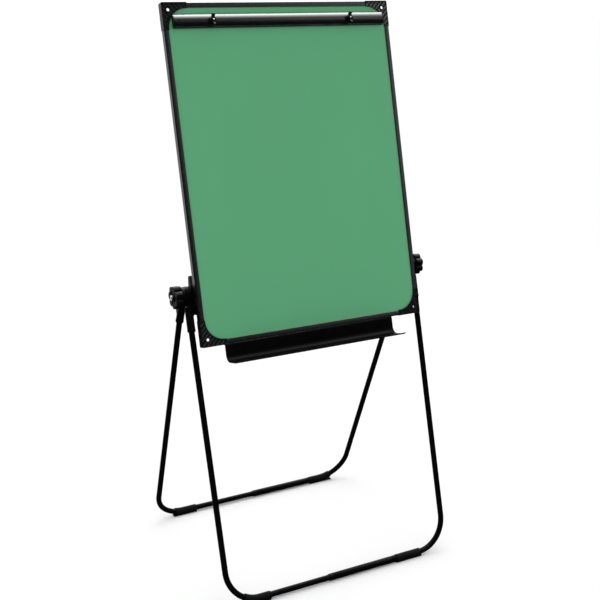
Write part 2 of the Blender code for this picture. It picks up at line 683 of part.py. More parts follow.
def make_socket(name, side, leg):
    """A hinge half: a flat disc on the bolt and a round socket that the leg's tube is pushed into."""
    low, high = sorted((side * leg.disc[0], side * leg.disc[1]))
    inner = math.copysign(1, -leg.offset)
    neck = [(leg.offset - inner * NECK_REACH, -0.048), (leg.offset + inner * NECK_REACH, -0.070)]
    neck += [(leg.offset + inner * NECK_SHOULDER, -0.045)]
    if inner > 0:
        outline = arc((0, 0), DISC_RADIUS, -NECK_INNER_DEG, 180 + NECK_OUTER_DEG, 18) + neck
    else:
        outline = arc((0, 0), DISC_RADIUS, -NECK_OUTER_DEG, 180 + NECK_INNER_DEG, 18) + neck[::-1]
    socket = piece(name, prism([outline], low, high, PLANE_YZ), BLACK_PLASTIC, leg.hinge)
    barrel = (side * leg.top_x, leg.offset, SOCKET_END)
    join(socket, cylinder(barrel, SOCKET_TOP - SOCKET_END, SOCKET_RADIUS, "Z", ROUND))
    bore = (side * leg.top_x, leg.offset, SOCKET_END - CUT_MARGIN)
    cut(socket, cylinder(bore, TUBE_TOP - SOCKET_END + CUT_MARGIN + 0.001, TUBE_RADIUS + GAP, "Z", ROUND))
    inside = (side * (leg.disc[0] - CUT_MARGIN), 0, 0)
    through = side * (leg.disc[1] - leg.disc[0] + 2 * CUT_MARGIN)
    cut(socket, cylinder(inside, through, BOLT_RADIUS + GAP, "X", ROUND))
    return socket


def make_socket_screw(name, side, leg, height, facing):
    """A small screw through the socket's wall that holds the tube in."""
    start = SOCKET_RADIUS + GAP
    end = TUBE_RADIUS - TUBE_WALL - 0.0003
    profile = [(0, start + 0.0021), (0.0022, start + 0.0020), (0.0036, start + 0.0012), (0.0037, start)]
    profile += [(0.0016, start), (0.0016, end), (0, end)]
    spot = Matrix.Translation((side * leg.top_x, leg.offset, height))
    turn = Matrix.Rotation(math.radians(-90 * facing), 4, "X")
    turned(name, profile, BLACK_STEEL, leg.hinge, SMALL_ROUND, spot @ turn)


def leg_path(side, leg, end_x):
    """Down from the socket, round the bend and along the floor to the middle joint."""
    bend = arc((leg.base_x - BEND_RADIUS, BEND_RADIUS - leg.length), BEND_RADIUS, 0, -90, 8)
    path = [(leg.top_x, TUBE_TOP), (leg.top_x, SOCKET_END - 0.006), *bend]
    return [(side * x, leg.offset, z) for x, z in path] + [(end_x, leg.offset, -leg.length)]


def make_leg(leg, coupler, screw_height):
    """A U leg: two bent tubes, each in its hinge socket, joined by a coupler sleeve in the base bar."""
    facing = math.copysign(1, -leg.offset)
    middle = (coupler[0] + coupler[1]) / 2
    for side, hand in ((-1, "left"), (1, "right")):
        path = leg_path(side, leg, middle + side * 0.001)
        tube = piece(f"{leg.name}_leg_{hand}", rod(path, TUBE_RADIUS, 14), BLACK_STEEL, leg.hinge)
        cut(tube, rod(path, TUBE_RADIUS - TUBE_WALL, 10, CUT_MARGIN))
        socket = make_socket(f"{leg.name}_socket_{hand}", side, leg)
        for drilled in (tube, socket):
            start = (side * leg.top_x, leg.offset, screw_height)
            cut(drilled, cylinder(start, facing * 1.5 * SOCKET_RADIUS, SOCKET_SCREW_HOLE, "Y", SMALL_ROUND))
        make_socket_screw(f"{leg.name}_socket_screw_{hand}", side, leg, screw_height, facing)
    place = Matrix.Translation((0, leg.offset, -leg.length)) @ outward(1)
    profile = ring_profile(TUBE_RADIUS + GAP, COUPLER_RADIUS, coupler[0], coupler[1])
    turned(f"{leg.name}_coupler", profile, BLACK_STEEL, leg.hinge, ROUND, place)


def make_foot(hand, side, leg, inner_x, outer_x):
    """A rubber sleeve on the base bar and the start of its bend, with a flat pad on the floor."""
    bend_x = leg.base_x - BEND_RADIUS
    swing = math.degrees(math.asin((outer_x - bend_x) / BEND_RADIUS))
    bend = arc((bend_x, BEND_RADIUS - leg.length), BEND_RADIUS, -90, swing - 90, 3)
    path = [(side * x, leg.offset, z) for x, z in [(inner_x, -leg.length), *bend]]
    foot = piece(f"{leg.name}_foot_{hand}", rod(path, FOOT_RADIUS, 14), RUBBER, leg.hinge)
    low, high = sorted((side * (inner_x + 0.0002), side * (outer_x + PAD_PAST_SLEEVE)))
    pad = box((low, -PAD_HALF_WIDTH, -BASE_HEIGHT), (high, PAD_HALF_WIDTH, -BASE_HEIGHT + 0.0045))
    pad.transform(Matrix.Translation((0, leg.offset, -leg.length)) @ Matrix.Rotation(-leg.turn, 4, "X"))
    join(foot, pad)
    cut(foot, rod(path, TUBE_RADIUS + 3 * GAP, 12, 2 * CUT_MARGIN))


def make_stand():
    front_hinge = empty("front_leg_hinge", HINGE, FRONT_TURN)
    rear_hinge = empty("rear_leg_hinge", HINGE, REAR_TURN)
    front = Leg(
        "front", front_hinge, FRONT_TURN, FRONT_LEG_OFFSET, FRONT_LENGTH, FRONT_TOP_X, FRONT_BASE_X, FRONT_DISC
    )
    rear = Leg("rear", rear_hinge, REAR_TURN, REAR_LEG_OFFSET, REAR_LENGTH, REAR_TOP_X, REAR_BASE_X, REAR_DISC)
    make_leg(front, (-0.045, 0.178), -0.073)
    make_leg(rear, (0.0, 0.209), -0.084)
    make_foot("left", -1, front, 0.233, 0.312)
    make_foot("right", 1, front, 0.182, 0.266)
    make_foot("left", -1, rear, 0.205, 0.278)
    make_foot("right", 1, rear, 0.213, 0.292)


make_panel()
make_rails()
make_corners()
make_clamp()
make_pegs()
make_tray()
for hand, side in (("left", -1), ("right", 1)):
    make_bracket(hand, side)
    make_hinge(hand, side)
make_stand()
bpy.context.view_layer.update()
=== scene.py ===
"""Looks for the folding U-stand easel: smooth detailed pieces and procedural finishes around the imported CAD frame.

Board pieces are built in board space: x across, y up from the board's lower edge, z out of its face. Leg pieces
are built in leg space: x across, y towards the rear, z up along the leg, with the hinge axis at the origin.
"""

import json
import math

import bmesh
import bpy
from mathutils import Matrix, Vector


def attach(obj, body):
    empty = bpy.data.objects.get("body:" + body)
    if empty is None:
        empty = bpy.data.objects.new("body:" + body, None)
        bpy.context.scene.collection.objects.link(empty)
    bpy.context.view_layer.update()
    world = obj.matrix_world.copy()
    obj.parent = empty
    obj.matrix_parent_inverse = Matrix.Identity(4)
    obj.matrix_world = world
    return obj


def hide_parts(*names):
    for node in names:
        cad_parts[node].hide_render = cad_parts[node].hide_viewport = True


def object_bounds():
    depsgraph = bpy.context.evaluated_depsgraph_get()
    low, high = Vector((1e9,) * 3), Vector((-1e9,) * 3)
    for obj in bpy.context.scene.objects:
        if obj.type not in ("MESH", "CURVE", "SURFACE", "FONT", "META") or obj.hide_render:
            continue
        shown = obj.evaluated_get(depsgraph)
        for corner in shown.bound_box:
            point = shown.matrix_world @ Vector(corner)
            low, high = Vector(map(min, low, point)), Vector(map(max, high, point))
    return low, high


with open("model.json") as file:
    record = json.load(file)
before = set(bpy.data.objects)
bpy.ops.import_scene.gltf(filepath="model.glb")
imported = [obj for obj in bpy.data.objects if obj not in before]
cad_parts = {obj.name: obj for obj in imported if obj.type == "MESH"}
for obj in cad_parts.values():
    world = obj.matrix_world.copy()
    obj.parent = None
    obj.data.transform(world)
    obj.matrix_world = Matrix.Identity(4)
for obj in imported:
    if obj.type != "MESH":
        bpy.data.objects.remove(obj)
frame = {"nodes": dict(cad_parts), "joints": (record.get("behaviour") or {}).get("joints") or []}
cad_low, cad_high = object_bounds()

NODES = frame["nodes"]
JOINTS = {joint["name"]: joint for joint in frame["joints"]}
GAP = 0.0003

# --- Spaces -----------------------------------------------------------------------------------------

HINGE = Vector((0, *JOINTS["board_tilt"]["pos_m"][1:]))
FORWARD = Vector(JOINTS["clamp_lift"]["axis"]).normalized()
UP_BOARD = FORWARD.cross(Vector((1, 0, 0)))
BOARD_WIDTH = 0.700
BOARD_HEIGHT = 0.914
HINGE_UP_BOARD = 0.141
HINGE_BEHIND_FACE = 0.0532
FRONT_LEG_LEAN = math.radians(15.3)
REAR_LEG_LEAN = math.radians(21.8)

BOARD = Matrix.Translation(HINGE) @ Matrix(
    ((1, 0, 0, 0), (0, UP_BOARD.y, FORWARD.y, 0), (0, UP_BOARD.z, FORWARD.z, 0), (0, 0, 0, 1))
)
BOARD = BOARD @ Matrix.Translation((0, -HINGE_UP_BOARD, HINGE_BEHIND_FACE))
FRONT = Matrix.Translation(HINGE) @ Matrix.Rotation(-FRONT_LEG_LEAN, 4, "X")
REAR = Matrix.Translation(HINGE) @ Matrix.Rotation(REAR_LEG_LEAN, 4, "X")
AT_HINGE = Matrix.Translation(HINGE)

# Planes for flat outlines: the outline's own x and y, and the way that it is thickened.
PLANE_XY = Matrix.Identity(4)
PLANE_YZ = Matrix(((0, 0, 1, 0), (1, 0, 0, 0), (0, 1, 0, 0), (0, 0, 0, 1)))
PLANE_ZY = Matrix(((0, 0, 1, 0), (0, 1, 0, 0), (-1, 0, 0, 0), (0, 0, 0, 1)))
PLANE_ZX = Matrix(((0, 1, 0, 0), (0, 0, 1, 0), (1, 0, 0, 0), (0, 0, 0, 1)))
# The turn that lays a solid's local Z along each axis.
ALONG = {"X": PLANE_YZ, "Y": PLANE_ZX, "Z": PLANE_XY}


def extent(node, space):
    """A CAD node's lowest and highest corner in a space of its own."""
    into = space.inverted()
    points = [into @ vertex.co for vertex in NODES[node].data.vertices]
    low = Vector([min(p[i] for p in points) for i in range(3)])
    high = Vector([max(p[i] for p in points) for i in range(3)])
    return low, high


# --- Materials --------------------------------------------------------------------------------------


class Finish:
    """A procedural material under construction: a Principled shader and helpers that add nodes to it."""

    def __init__(self, name, colour, roughness, metallic=0.0, **sockets):
        self.material = bpy.data.materials.new(name)
        self.material.use_nodes = True
        self.tree = self.material.node_tree
        self.shader = self.tree.nodes["Principled BSDF"]
        self.shader.inputs["Base Color"].default_value = (*colour, 1)
        self.shader.inputs["Roughness"].default_value = roughness
        self.shader.inputs["Metallic"].default_value = metallic
        for socket, value in sockets.items():
            self.shader.inputs[socket.replace("_", " ")].default_value = value
        self.place = self.node("ShaderNodeTexCoord").outputs["Object"]

    def node(self, kind, **settings):
        made = self.tree.nodes.new(kind)
        for key, value in settings.items():
            setattr(made, key, value)
        return made

    def link(self, source, target):
        self.tree.links.new(source, target)

    def stretched(self, scale):
        """Object coordinates scaled differently along each axis, so that a texture runs in streaks."""
        mapping = self.node("ShaderNodeMapping")
        mapping.inputs["Scale"].default_value = scale
        self.link(self.place, mapping.inputs["Vector"])
        return mapping.outputs["Vector"]

    def noise(self, scale, detail, vector=None, roughness=0.5):
        texture = self.node("ShaderNodeTexNoise")
        texture.inputs["Scale"].default_value = scale
        texture.inputs["Detail"].default_value = detail
        texture.inputs["Roughness"].default_value = roughness
        self.link(vector or self.place, texture.inputs["Vector"])
        return texture.outputs["Fac"]

    def ramp(self, source, stops):
        """A colour ramp through (position, colour) stops."""
        ramp = self.node("ShaderNodeValToRGB")
        elements = ramp.color_ramp.elements
        while len(elements) < len(stops):
            elements.new(0.5)
        for element, (position, colour) in zip(elements, stops):
            element.position = position
            element.color = (*colour, 1)
        self.link(source, ramp.inputs["Fac"])
        return ramp.outputs["Color"]

    def between(self, source, low, high):
        """The source, 0 to 1, spread over a range of values."""
        spread = self.node("ShaderNodeMapRange")
        spread.inputs["To Min"].default_value = low
        spread.inputs["To Max"].default_value = high
        self.link(source, spread.inputs["Value"])
        return spread.outputs["Result"]

    def bump(self, source, height, strength):
        bump = self.node("ShaderNodeBump")
        bump.inputs["Strength"].default_value = strength
        bump.inputs["Distance"].default_value = height
        self.link(source, bump.inputs["Height"])
        return bump.outputs["Normal"]

    def use(self, **inputs):
        for socket, source in inputs.items():
            self.link(source, self.shader.inputs[socket.replace("_", " ")])
        return self.material


def shades(colour, spread):
    """A darker and a lighter shade of a colour."""
    return tuple(c * (1 - spread) for c in colour), tuple(c * (1 + spread) for c in colour)


def extruded_aluminium(name, along):
    """Black anodised aluminium with fine die lines along the extrusion."""
    black = (0.0022, 0.0020, 0.0023)
    finish = Finish(name, black, 0.24, Specular_IOR_Level=1.0)
    streaks = (3, 900, 900) if along == "X" else (900, 3, 3)
    lines = finish.noise(1.0, 4.0, finish.stretched(streaks), 0.6)
    mottle = finish.noise(42.0, 4.0)
    dark, pale = shades(black, 0.35)
    shade = finish.ramp(mottle, [(0.3, dark), (0.75, pale)])
    rough = finish.between(lines, 0.19, 0.33)
    normal = finish.bump(lines, 0.00004, 0.30)
    return finish.use(Base_Color=shade, Roughness=rough, Normal=normal)


def moulded_plastic(name, colour, roughness, gloss):
    """Black moulded plastic with a fine spark-eroded grain."""
    finish = Finish(name, colour, roughness, Specular_IOR_Level=gloss)
    grains = finish.noise(1900.0, 2.0)
    scuffs = finish.noise(55.0, 5.0, roughness=0.65)
    dark, pale = shades(colour, 0.4)
    shade = finish.ramp(scuffs, [(0.35, dark), (0.7, pale)])
    rough = finish.between(scuffs, roughness - 0.08, roughness + 0.10)
    normal = finish.bump(grains, 0.00009, 0.30)
    return finish.use(Base_Color=shade, Roughness=rough, Normal=normal)


def painted_steel(name):
    """Deep black powder coat with an orange-peel skin."""
    finish = Finish(name, (0.0018, 0.0018, 0.0020), 0.30, Specular_IOR_Level=0.02)
    peel = finish.noise(520.0, 2.0)
    dust = finish.noise(30.0, 6.0, roughness=0.7)
    shade = finish.ramp(dust, [(0.35, (0.0012, 0.0012, 0.0013)), (0.8, (0.0026, 0.0025, 0.0026))])
    rough = finish.between(dust, 0.24, 0.40)
    normal = finish.bump(peel, 0.00010, 0.25)
    return finish.use(Base_Color=shade, Roughness=rough, Normal=normal)


def writing_green():
    """Green enamelled steel: an even colour with a fine matt tooth and the faintest haze of wiped chalk."""
    colour = (0.089, 0.302, 0.154)
    finish = Finish("writing_green", colour, 0.62, Specular_IOR_Level=0.05)
    tooth = finish.noise(1500.0, 3.0)
    haze = finish.noise(1.0, 4.0, finish.stretched((3.2, 1.1, 1.1)), 0.55)
    dark, pale = shades(colour, 0.020)
    shade = finish.ramp(haze, [(0.3, dark), (0.7, pale)])
    rough = finish.between(tooth, 0.56, 0.70)
    normal = finish.bump(tooth, 0.00004, 0.25)
    return finish.use(Base_Color=shade, Roughness=rough, Normal=normal)


def galvanised():
    """Zinc-coated back sheet with its crystal spangle."""
    finish = Finish("galvanised_back", (0.45, 0.46, 0.47), 0.42, 0.75)
    cells = finish.node("ShaderNodeTexVoronoi", feature="F1")
    cells.inputs["Scale"].default_value = 85.0
    finish.link(finish.place, cells.inputs["Vector"])
    grey = finish.node("ShaderNodeRGBToBW")
    finish.link(cells.outputs["Color"], grey.inputs["Color"])
    shade = finish.ramp(grey.outputs["Val"], [(0.2, (0.42, 0.43, 0.44)), (0.8, (0.49, 0.50, 0.51))])
    rough = finish.between(grey.outputs["Val"], 0.38, 0.48)
    return finish.use(Base_Color=shade, Roughness=rough)


def zinc():
    """Bright zinc plating with fine turning marks."""
    finish = Finish("bright_zinc", (0.72, 0.73, 0.74), 0.28, 1.0)
    marks = finish.noise(900.0, 3.0, finish.stretched((1, 1, 3)))
    shade = finish.ramp(marks, [(0.3, (0.62, 0.63, 0.65)), (0.75, (0.80, 0.81, 0.82))])
    rough = finish.between(marks, 0.18, 0.38)
    return finish.use(Base_Color=shade, Roughness=rough, Normal=finish.bump(marks, 0.00003, 0.3))


def black_rubber():
    """Matt black rubber, pitted and a little dusty."""
    finish = Finish("matt_rubber", (0.003, 0.003, 0.003), 0.60, Specular_IOR_Level=0.04)
    pits = finish.noise(1100.0, 3.0)
    dust = finish.noise(60.0, 5.0, roughness=0.7)
    shade = finish.ramp(dust, [(0.35, (0.0020, 0.0020, 0.0020)), (0.8, (0.0050, 0.0050, 0.0050))])
    rough = finish.between(dust, 0.62, 0.85)
    return finish.use(Base_Color=shade, Roughness=rough, Normal=finish.bump(pits, 0.00010, 0.4))


def fibreboard():
    """Raw brown fibreboard, which shows only at the panel's edges."""
    finish = Finish("raw_fibreboard", (0.42, 0.30, 0.18), 0.85)
    fibres = finish.noise(700.0, 6.0, finish.stretched((1, 1, 6)), 0.7)
    shade = finish.ramp(fibres, [(0.3, (0.33, 0.22, 0.12)), (0.75, (0.52, 0.39, 0.25))])
    return finish.use(Base_Color=shade, Normal=finish.bump(fibres, 0.00015, 0.5))


ALUMINIUM_ACROSS = extruded_aluminium("anodised_across", "X")
ALUMINIUM_UP = extruded_aluminium("anodised_up", "Z")
PLASTIC = moulded_plastic("moulded_black", (0.0028, 0.0027, 0.0029), 0.32, 0.28)
SOCKET_PLASTIC = moulded_plastic("socket_black", (0.0018, 0.0018, 0.0019), 0.38, 0.04)
KNOB_PLASTIC = moulded_plastic("knob_black", (0.0022, 0.0022, 0.0023), 0.45, 0.08)
NYLON = moulded_plastic("black_nylon", (0.006, 0.006, 0.006), 0.55, 0.30)
PAINT = painted_steel("black_powder_coat")
GREEN = writing_green()
BACK = galvanised()
CORE = fibreboard()
ZINC = zinc()
RUBBER = black_rubber()


# --- Mesh helpers -----------------------------------------------------------------------------------


def linked(name, data):
    """A new object in the scene."""
    made = bpy.data.objects.new(name, data)
    bpy.context.scene.collection.objects.link(made)
    return made


def round_edges(piece, width, segments, angle):
    """Gives an object a bevel on its edges sharper than an angle in degrees."""
    edge = piece.modifiers.new("Edge", "BEVEL")
    edge.width = width
    edge.segments = segments
    edge.limit_method = "ANGLE"
    edge.angle_limit = math.radians(angle)
    return edge


def finish_piece(name, mesh, material, space, body, nodes, bevel=0.0, segments=3, angle=35):
    """A finished piece: its mesh placed from its own space, its edges rounded, riding on its body."""
    mesh.name = name
    mesh.materials.clear()
    mesh.materials.append(material)
    mesh.transform(space)
    mesh.shade_smooth()
    made = linked(name, mesh)
    if bevel:
        round_edges(made, bevel, segments, angle).harden_normals = True
    else:
        mesh.set_sharp_from_angle(angle=math.radians(angle))
    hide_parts(*nodes)
    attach(made, body)
    return made


def mesh_from(work, name):
    """The mesh that a bmesh holds; the bmesh is freed."""
    mesh = bpy.data.meshes.new(name)
    work.to_mesh(mesh)
    work.free()
    return mesh


def evaluated_mesh(holder):
    """The mesh that an object's curve or modifiers give, with its caps welded; the object is removed."""
    bpy.context.view_layer.update()
    mesh = bpy.data.meshes.new_from_object(holder.evaluated_get(bpy.context.evaluated_depsgraph_get()))
    bpy.data.objects.remove(holder)
    work = bmesh.new()
    work.from_mesh(mesh)
    bmesh.ops.remove_doubles(work, verts=work.verts, dist=1e-6)
    bmesh.ops.recalc_face_normals(work, faces=work.faces)
    work.to_mesh(mesh)
    work.free()
    return mesh


def bevelled(mesh, width, segments, angle):
    """A mesh with its sharp edges rounded."""
    holder = linked("holder", mesh)
    round_edges(holder, width, segments, angle)
    return evaluated_mesh(holder)


def combined(base, changes):
    """A mesh with others cut from it or joined to it, given as (operation, mesh)."""
    holder = linked("holder", base)
    helpers = []
    for operation, mesh in changes:
        helper = linked("helper", mesh)
        helpers.append(helper)
        change = holder.modifiers.new(operation, "BOOLEAN")
        change.operation = operation
        change.solver = "EXACT"
        change.object = helper
    mesh = evaluated_mesh(holder)
    for helper in helpers:
        bpy.data.objects.remove(helper)
    return mesh


def prism(loops, low, high, plane=PLANE_XY):
    """A flat outline, with any holes in it, thickened from low to high across its plane."""
    curve = bpy.data.curves.new("outline", "CURVE")
    curve.dimensions = "2D"
    curve.fill_mode = "BOTH"
    curve.extrude = (high - low) / 2
    for loop in loops:
        spline = curve.splines.new("POLY")
        spline.points.add(len(loop) - 1)
        for point, (x, y) in zip(spline.points, loop):
            point.co = (x, y, 0, 1)
        spline.use_cyclic_u = True
    mesh = evaluated_mesh(linked("holder", curve))
    mesh.transform(plane @ Matrix.Translation((0, 0, (low + high) / 2)))
    return mesh


def arc(centre, radius, start_deg, end_deg, steps):
    """Points along an arc, ends included."""
    turns = [math.radians(start_deg + (end_deg - start_deg) * i / steps) for i in range(steps + 1)]
    return [(centre[0] + radius * math.cos(t), centre[1] + radius * math.sin(t)) for t in turns]


def circle_turns(sides):
    """The angles of a circle's points, in radians."""
    return [2 * math.pi * i / sides for i in range(sides)]


def box(low, high):
    low, high = Vector(low), Vector(high)
    work = bmesh.new()
    size = Matrix.Diagonal((*(high - low), 1))
    bmesh.ops.create_cube(work, size=1, matrix=Matrix.Translation((low + high) / 2) @ size)
    return mesh_from(work, "box")


def lathe(profile, sides, matrix=None):
    """A turned solid: (radius, height) points swept round local Z. A profile off the axis closes as a ring."""
    work = bmesh.new()
    rings = []
    for radius, height in profile:
        if radius == 0:
            rings.append([work.verts.new((0, 0, height))])
            continue
        spots = [(radius * math.cos(t), radius * math.sin(t), height) for t in circle_turns(sides)]
        rings.append([work.verts.new(spot) for spot in spots])
    pairs = list(zip(rings, rings[1:]))
    if profile[0][0] > 0:
        pairs.append((rings[-1], rings[0]))
    for upper, lower in pairs:
        for i in range(sides):
            j = (i + 1) % sides
            if len(upper) == 1:
                work.faces.new((upper[0], lower[i], lower[j]))
            elif len(lower) == 1:
                work.faces.new((upper[j], upper[i], lower[0]))
            else:
                work.faces.new((upper[j], upper[i], lower[i], lower[j]))
    bmesh.ops.recalc_face_normals(work, faces=work.faces)
    mesh = mesh_from(work, "turned")
    if matrix:
        mesh.transform(matrix)
    return mesh


def tube(path, outer, inner, sides):
    """A hollow tube along a path, open at both ends, its end rims closed between the outer and inner skins."""
    points = [Vector(p) for p in path]
    aside = Vector((0, 1, 0))
    work = bmesh.new()
    skins = []
    for radius in (outer, inner):
        rings = []
        for i, point in enumerate(points):
            along = (points[min(i + 1, len(points) - 1)] - points[max(i - 1, 0)]).normalized()
            other = along.cross(aside).normalized()
            spots = [point + radius * (aside * math.cos(t) + other * math.sin(t)) for t in circle_turns(sides)]
            rings.append([work.verts.new(spot) for spot in spots])
        skins.append(rings)
    strips = [pair for rings in skins for pair in zip(rings, rings[1:])]
    strips += [(skins[0][end], skins[1][end]) for end in (0, -1)]
    for one, two in strips:
        for k in range(sides):
            m = (k + 1) % sides
            work.faces.new((one[k], one[m], two[m], two[k]))
    bmesh.ops.recalc_face_normals(work, faces=work.faces)
    return mesh_from(work, "tube")


def rod(path, radius, sides):
    """A solid rod along a path."""
    curve = bpy.data.curves.new("rod", "CURVE")
    curve.dimensions = "3D"
    curve.bevel_depth = radius
    curve.bevel_resolution = sides // 4 - 1
    curve.use_fill_caps = True
    spline = curve.splines.new("POLY")
    spline.points.add(len(path) - 1)
    for point, place in zip(spline.points, path):
        point.co = (*place, 1)
    return evaluated_mesh(linked("holder", curve))


def cylinder(centre, low, high, radius, axis):
    """A cylinder along an axis between two places on it, through a centre."""
    mesh = lathe([(0, high), (radius, high), (radius, low), (0, low)], 40)
    mesh.transform(Matrix.Translation(centre) @ ALONG[axis])
    return mesh


def outward(side):
    """Local Z of a turned piece along the hinge axis, away from the board."""
    return Matrix.Rotation(math.radians(90 * side), 4, "Y")


def span(side, near, far):
    """Two distances from the middle, on one side of the easel, as the lower and higher x."""
    return sorted((side * near, side * far))


SIDES = ((-1, "left"), (1, "right"))


# --- Plain nodes that keep their CAD shape ------------------------------------------------------------


def repaint(material, *nodes):
    for node in nodes:
        NODES[node].data.materials.clear()
        NODES[node].data.materials.append(material)


repaint(GREEN, "writing_sheet")
repaint(CORE, "board_core")
repaint(BACK, "back_sheet")

# --- Board frame ------------------------------------------------------------------------------------

RAIL_FACE = 0.0140
RAIL_DEPTH = 0.0165
RAIL_ROUND = 0.0017
RAIL_LIP_ROUND = 0.0007
GROOVE_START = 0.0060
GROOVE_FRONT = 0.0020
GROOVE_BACK = 0.0125


def rail_section():
    """The rail's section, as (across from its outer edge, back from the board's face)."""
    section = arc((RAIL_ROUND, -RAIL_ROUND), RAIL_ROUND, 180, 90, 8)
    section += arc((RAIL_FACE - RAIL_LIP_ROUND, -RAIL_LIP_ROUND), RAIL_LIP_ROUND, 90, 0, 5)
    section += [(RAIL_FACE, -GROOVE_FRONT), (GROOVE_START, -GROOVE_FRONT), (GROOVE_START, -GROOVE_BACK)]
    section += [(RAIL_FACE, -GROOVE_BACK), (RAIL_FACE, -RAIL_DEPTH), (0, -RAIL_DEPTH)]
    return section


def make_rails():
    half = BOARD_WIDTH / 2
    for side, hand in SIDES:
        name = f"frame_{hand}"
        low, high = extent(name, BOARD)
        loop = [(w, side * (half - u)) for u, w in rail_section()]
        mesh = prism([loop], low.y, high.y, PLANE_ZX)
        finish_piece(f"{name}_rail", mesh, ALUMINIUM_UP, BOARD, "board", [name])
    for name, edge, inward in (("frame_bottom", 0, 1), ("frame_top", BOARD_HEIGHT, -1)):
        low, high = extent(name, BOARD)
        loop = [(-w, edge + inward * u) for u, w in rail_section()]
        mesh = prism([loop], low.x, high.x, PLANE_ZY)
        finish_piece(f"{name}_rail", mesh, ALUMINIUM_ACROSS, BOARD, "board", [name])


CORNER_ARM = 0.072
CORNER_PROUD = 0.0010
CORNER_ARC = 0.0535
CORNER_INNER = 0.0152
CORNER_ROUND = 0.0035
CORNER_HOLE = (0.0175, 0.0190)
CORNER_HOLE_RADIUS = 0.0042
CORNER_BOSS_WALL = 0.0022
CORNER_WALL = 0.0030
CORNER_ARC_STEPS = 24
PANEL_CHAMFER = 0.041
SLOT_PAST_ARM = 0.030
RIM = 0.0016
POCKET_DEPTH = 0.0017
RIDGE_HALF_WIDTH = 0.0020
RIDGE_SPACING = 0.0135
RIDGE_LEAD = 0.006
RIDGE_REACH = 0.085
RIDGE_NUMBERS = range(-7, 8)
CUT_MARGIN = 0.004


def ridges(at, low, high):
    """A row of slanting ridges of triangular section, between two heights, across a corner moulding's face."""
    work = bmesh.new()
    aside = RIDGE_HALF_WIDTH * math.sqrt(2)
    for number in RIDGE_NUMBERS:
        offset = number * RIDGE_SPACING
        first = max(-offset, 0)
        ends = []
        for run in (first - RIDGE_LEAD, first + RIDGE_REACH):
            feet = at([(run + offset + aside, run), (run + offset, run), (run + offset - aside, run)])
            ends.append([work.verts.new((x, y, z)) for (x, y), z in zip(feet, (low, high, low))])
        for one, two in ((0, 1), (1, 2), (2, 0)):
            work.faces.new((ends[0][one], ends[0][two], ends[1][two], ends[1][one]))
        work.faces.new(ends[0])
        work.faces.new(ends[1])
    bmesh.ops.recalc_face_normals(work, faces=work.faces)
    return mesh_from(work, "ridges")


def corner_loop(inset):
    """The moulding's outline in its own corner, drawn in by an inset: two arms joined by a hollow arc."""
    centre = CORNER_INNER + CORNER_ARC
    outer = -CORNER_PROUD + inset
    inner = CORNER_INNER - inset
    arm = CORNER_ARM - inset
    radius = CORNER_ROUND
    points = [(arm, outer), (arm, inner)]
    points += arc((centre, centre), CORNER_ARC + inset, -90, -180, CORNER_ARC_STEPS)
    points += [(inner, arm), (outer, arm)]
    points += arc((outer + radius, outer + radius), radius, 180, 270, 6)
    return points


def make_corner(name, side, top):
    """A corner moulding: a rimmed face with slanting ridges, a wall-fixing hole, and a hollow back."""

    def at(points):
        return [(side * (BOARD_WIDTH / 2 - x), BOARD_HEIGHT - y if top else y) for x, y in points]

    face = CORNER_PROUD
    floor = face - POCKET_DEPTH
    behind = -RAIL_DEPTH - CUT_MARGIN
    start = GROOVE_START
    reach = CORNER_ARM + SLOT_PAST_ARM
    slot = [(start + PANEL_CHAMFER, start), (reach, start), (reach, reach), (start, reach)]
    slot += [(start, start + PANEL_CHAMFER)]
    wide = GROOVE_START + PANEL_CHAMFER - CORNER_WALL
    hollow = [(CORNER_WALL, CORNER_WALL), (wide, CORNER_WALL), (CORNER_WALL, wide)]
    hole = arc(CORNER_HOLE, CORNER_HOLE_RADIUS, 0, 345, 23)
    boss = arc(CORNER_HOLE, CORNER_HOLE_RADIUS + CORNER_BOSS_WALL, 0, 345, 23)
    body = prism([at(corner_loop(0))], -RAIL_DEPTH - CORNER_PROUD, face)
    pocket = prism([at(corner_loop(RIM))], floor, face + CUT_MARGIN / 2)
    kept = prism([at(boss)], floor - CUT_MARGIN / 2, face + CUT_MARGIN)
    pocket = combined(pocket, [("DIFFERENCE", kept)])
    inside = prism([at(corner_loop(RIM / 2))], floor - CUT_MARGIN / 4, face + CUT_MARGIN / 4)
    raised = combined(ridges(at, floor - GAP, face - 0.0001), [("INTERSECT", inside)])
    changes = [
        ("DIFFERENCE", pocket),
        ("UNION", raised),
        ("DIFFERENCE", prism([at(slot)], -GROOVE_BACK, -GROOVE_FRONT)),
        ("DIFFERENCE", prism([at(hollow)], behind, -GROOVE_FRONT)),
        ("DIFFERENCE", prism([at(hole)], behind, face + CUT_MARGIN)),
    ]
    mesh = combined(body, changes)
    finish_piece(f"{name}_moulding", mesh, PLASTIC, BOARD, "board", [name], 0.00035, 2, 40)


def make_corners():
    for side, hand in SIDES:
        make_corner(f"corner_top_{hand}", side, True)
        make_corner(f"corner_bottom_{hand}", side, False)


# --- Flip-chart clamp -------------------------------------------------------------------------------

CLAMP_WALL = 0.0018
CLAMP_GRIP = (-0.80, -0.72)
CLAMP_GRIP_DEPTH = 0.0006
CLAMP_STUD_HOLE = 0.0033
STUD_RADIUS = 0.0030
STUD_HEAD = 0.0026
THREAD_PITCH = 0.0010
THREAD_DEPTH = 0.0003
WING_HUB_HEIGHT = 0.0100
WING_HALF_THICKNESS = 0.0036


def half_oval(half_height, depth, steps):
    """Half an ellipse bulging forward, as (forward, up) about its middle line."""
    turns = [math.radians(90 - 180 * i / steps) for i in range(steps + 1)]
    return [(depth * math.cos(t), half_height * math.sin(t)) for t in turns]


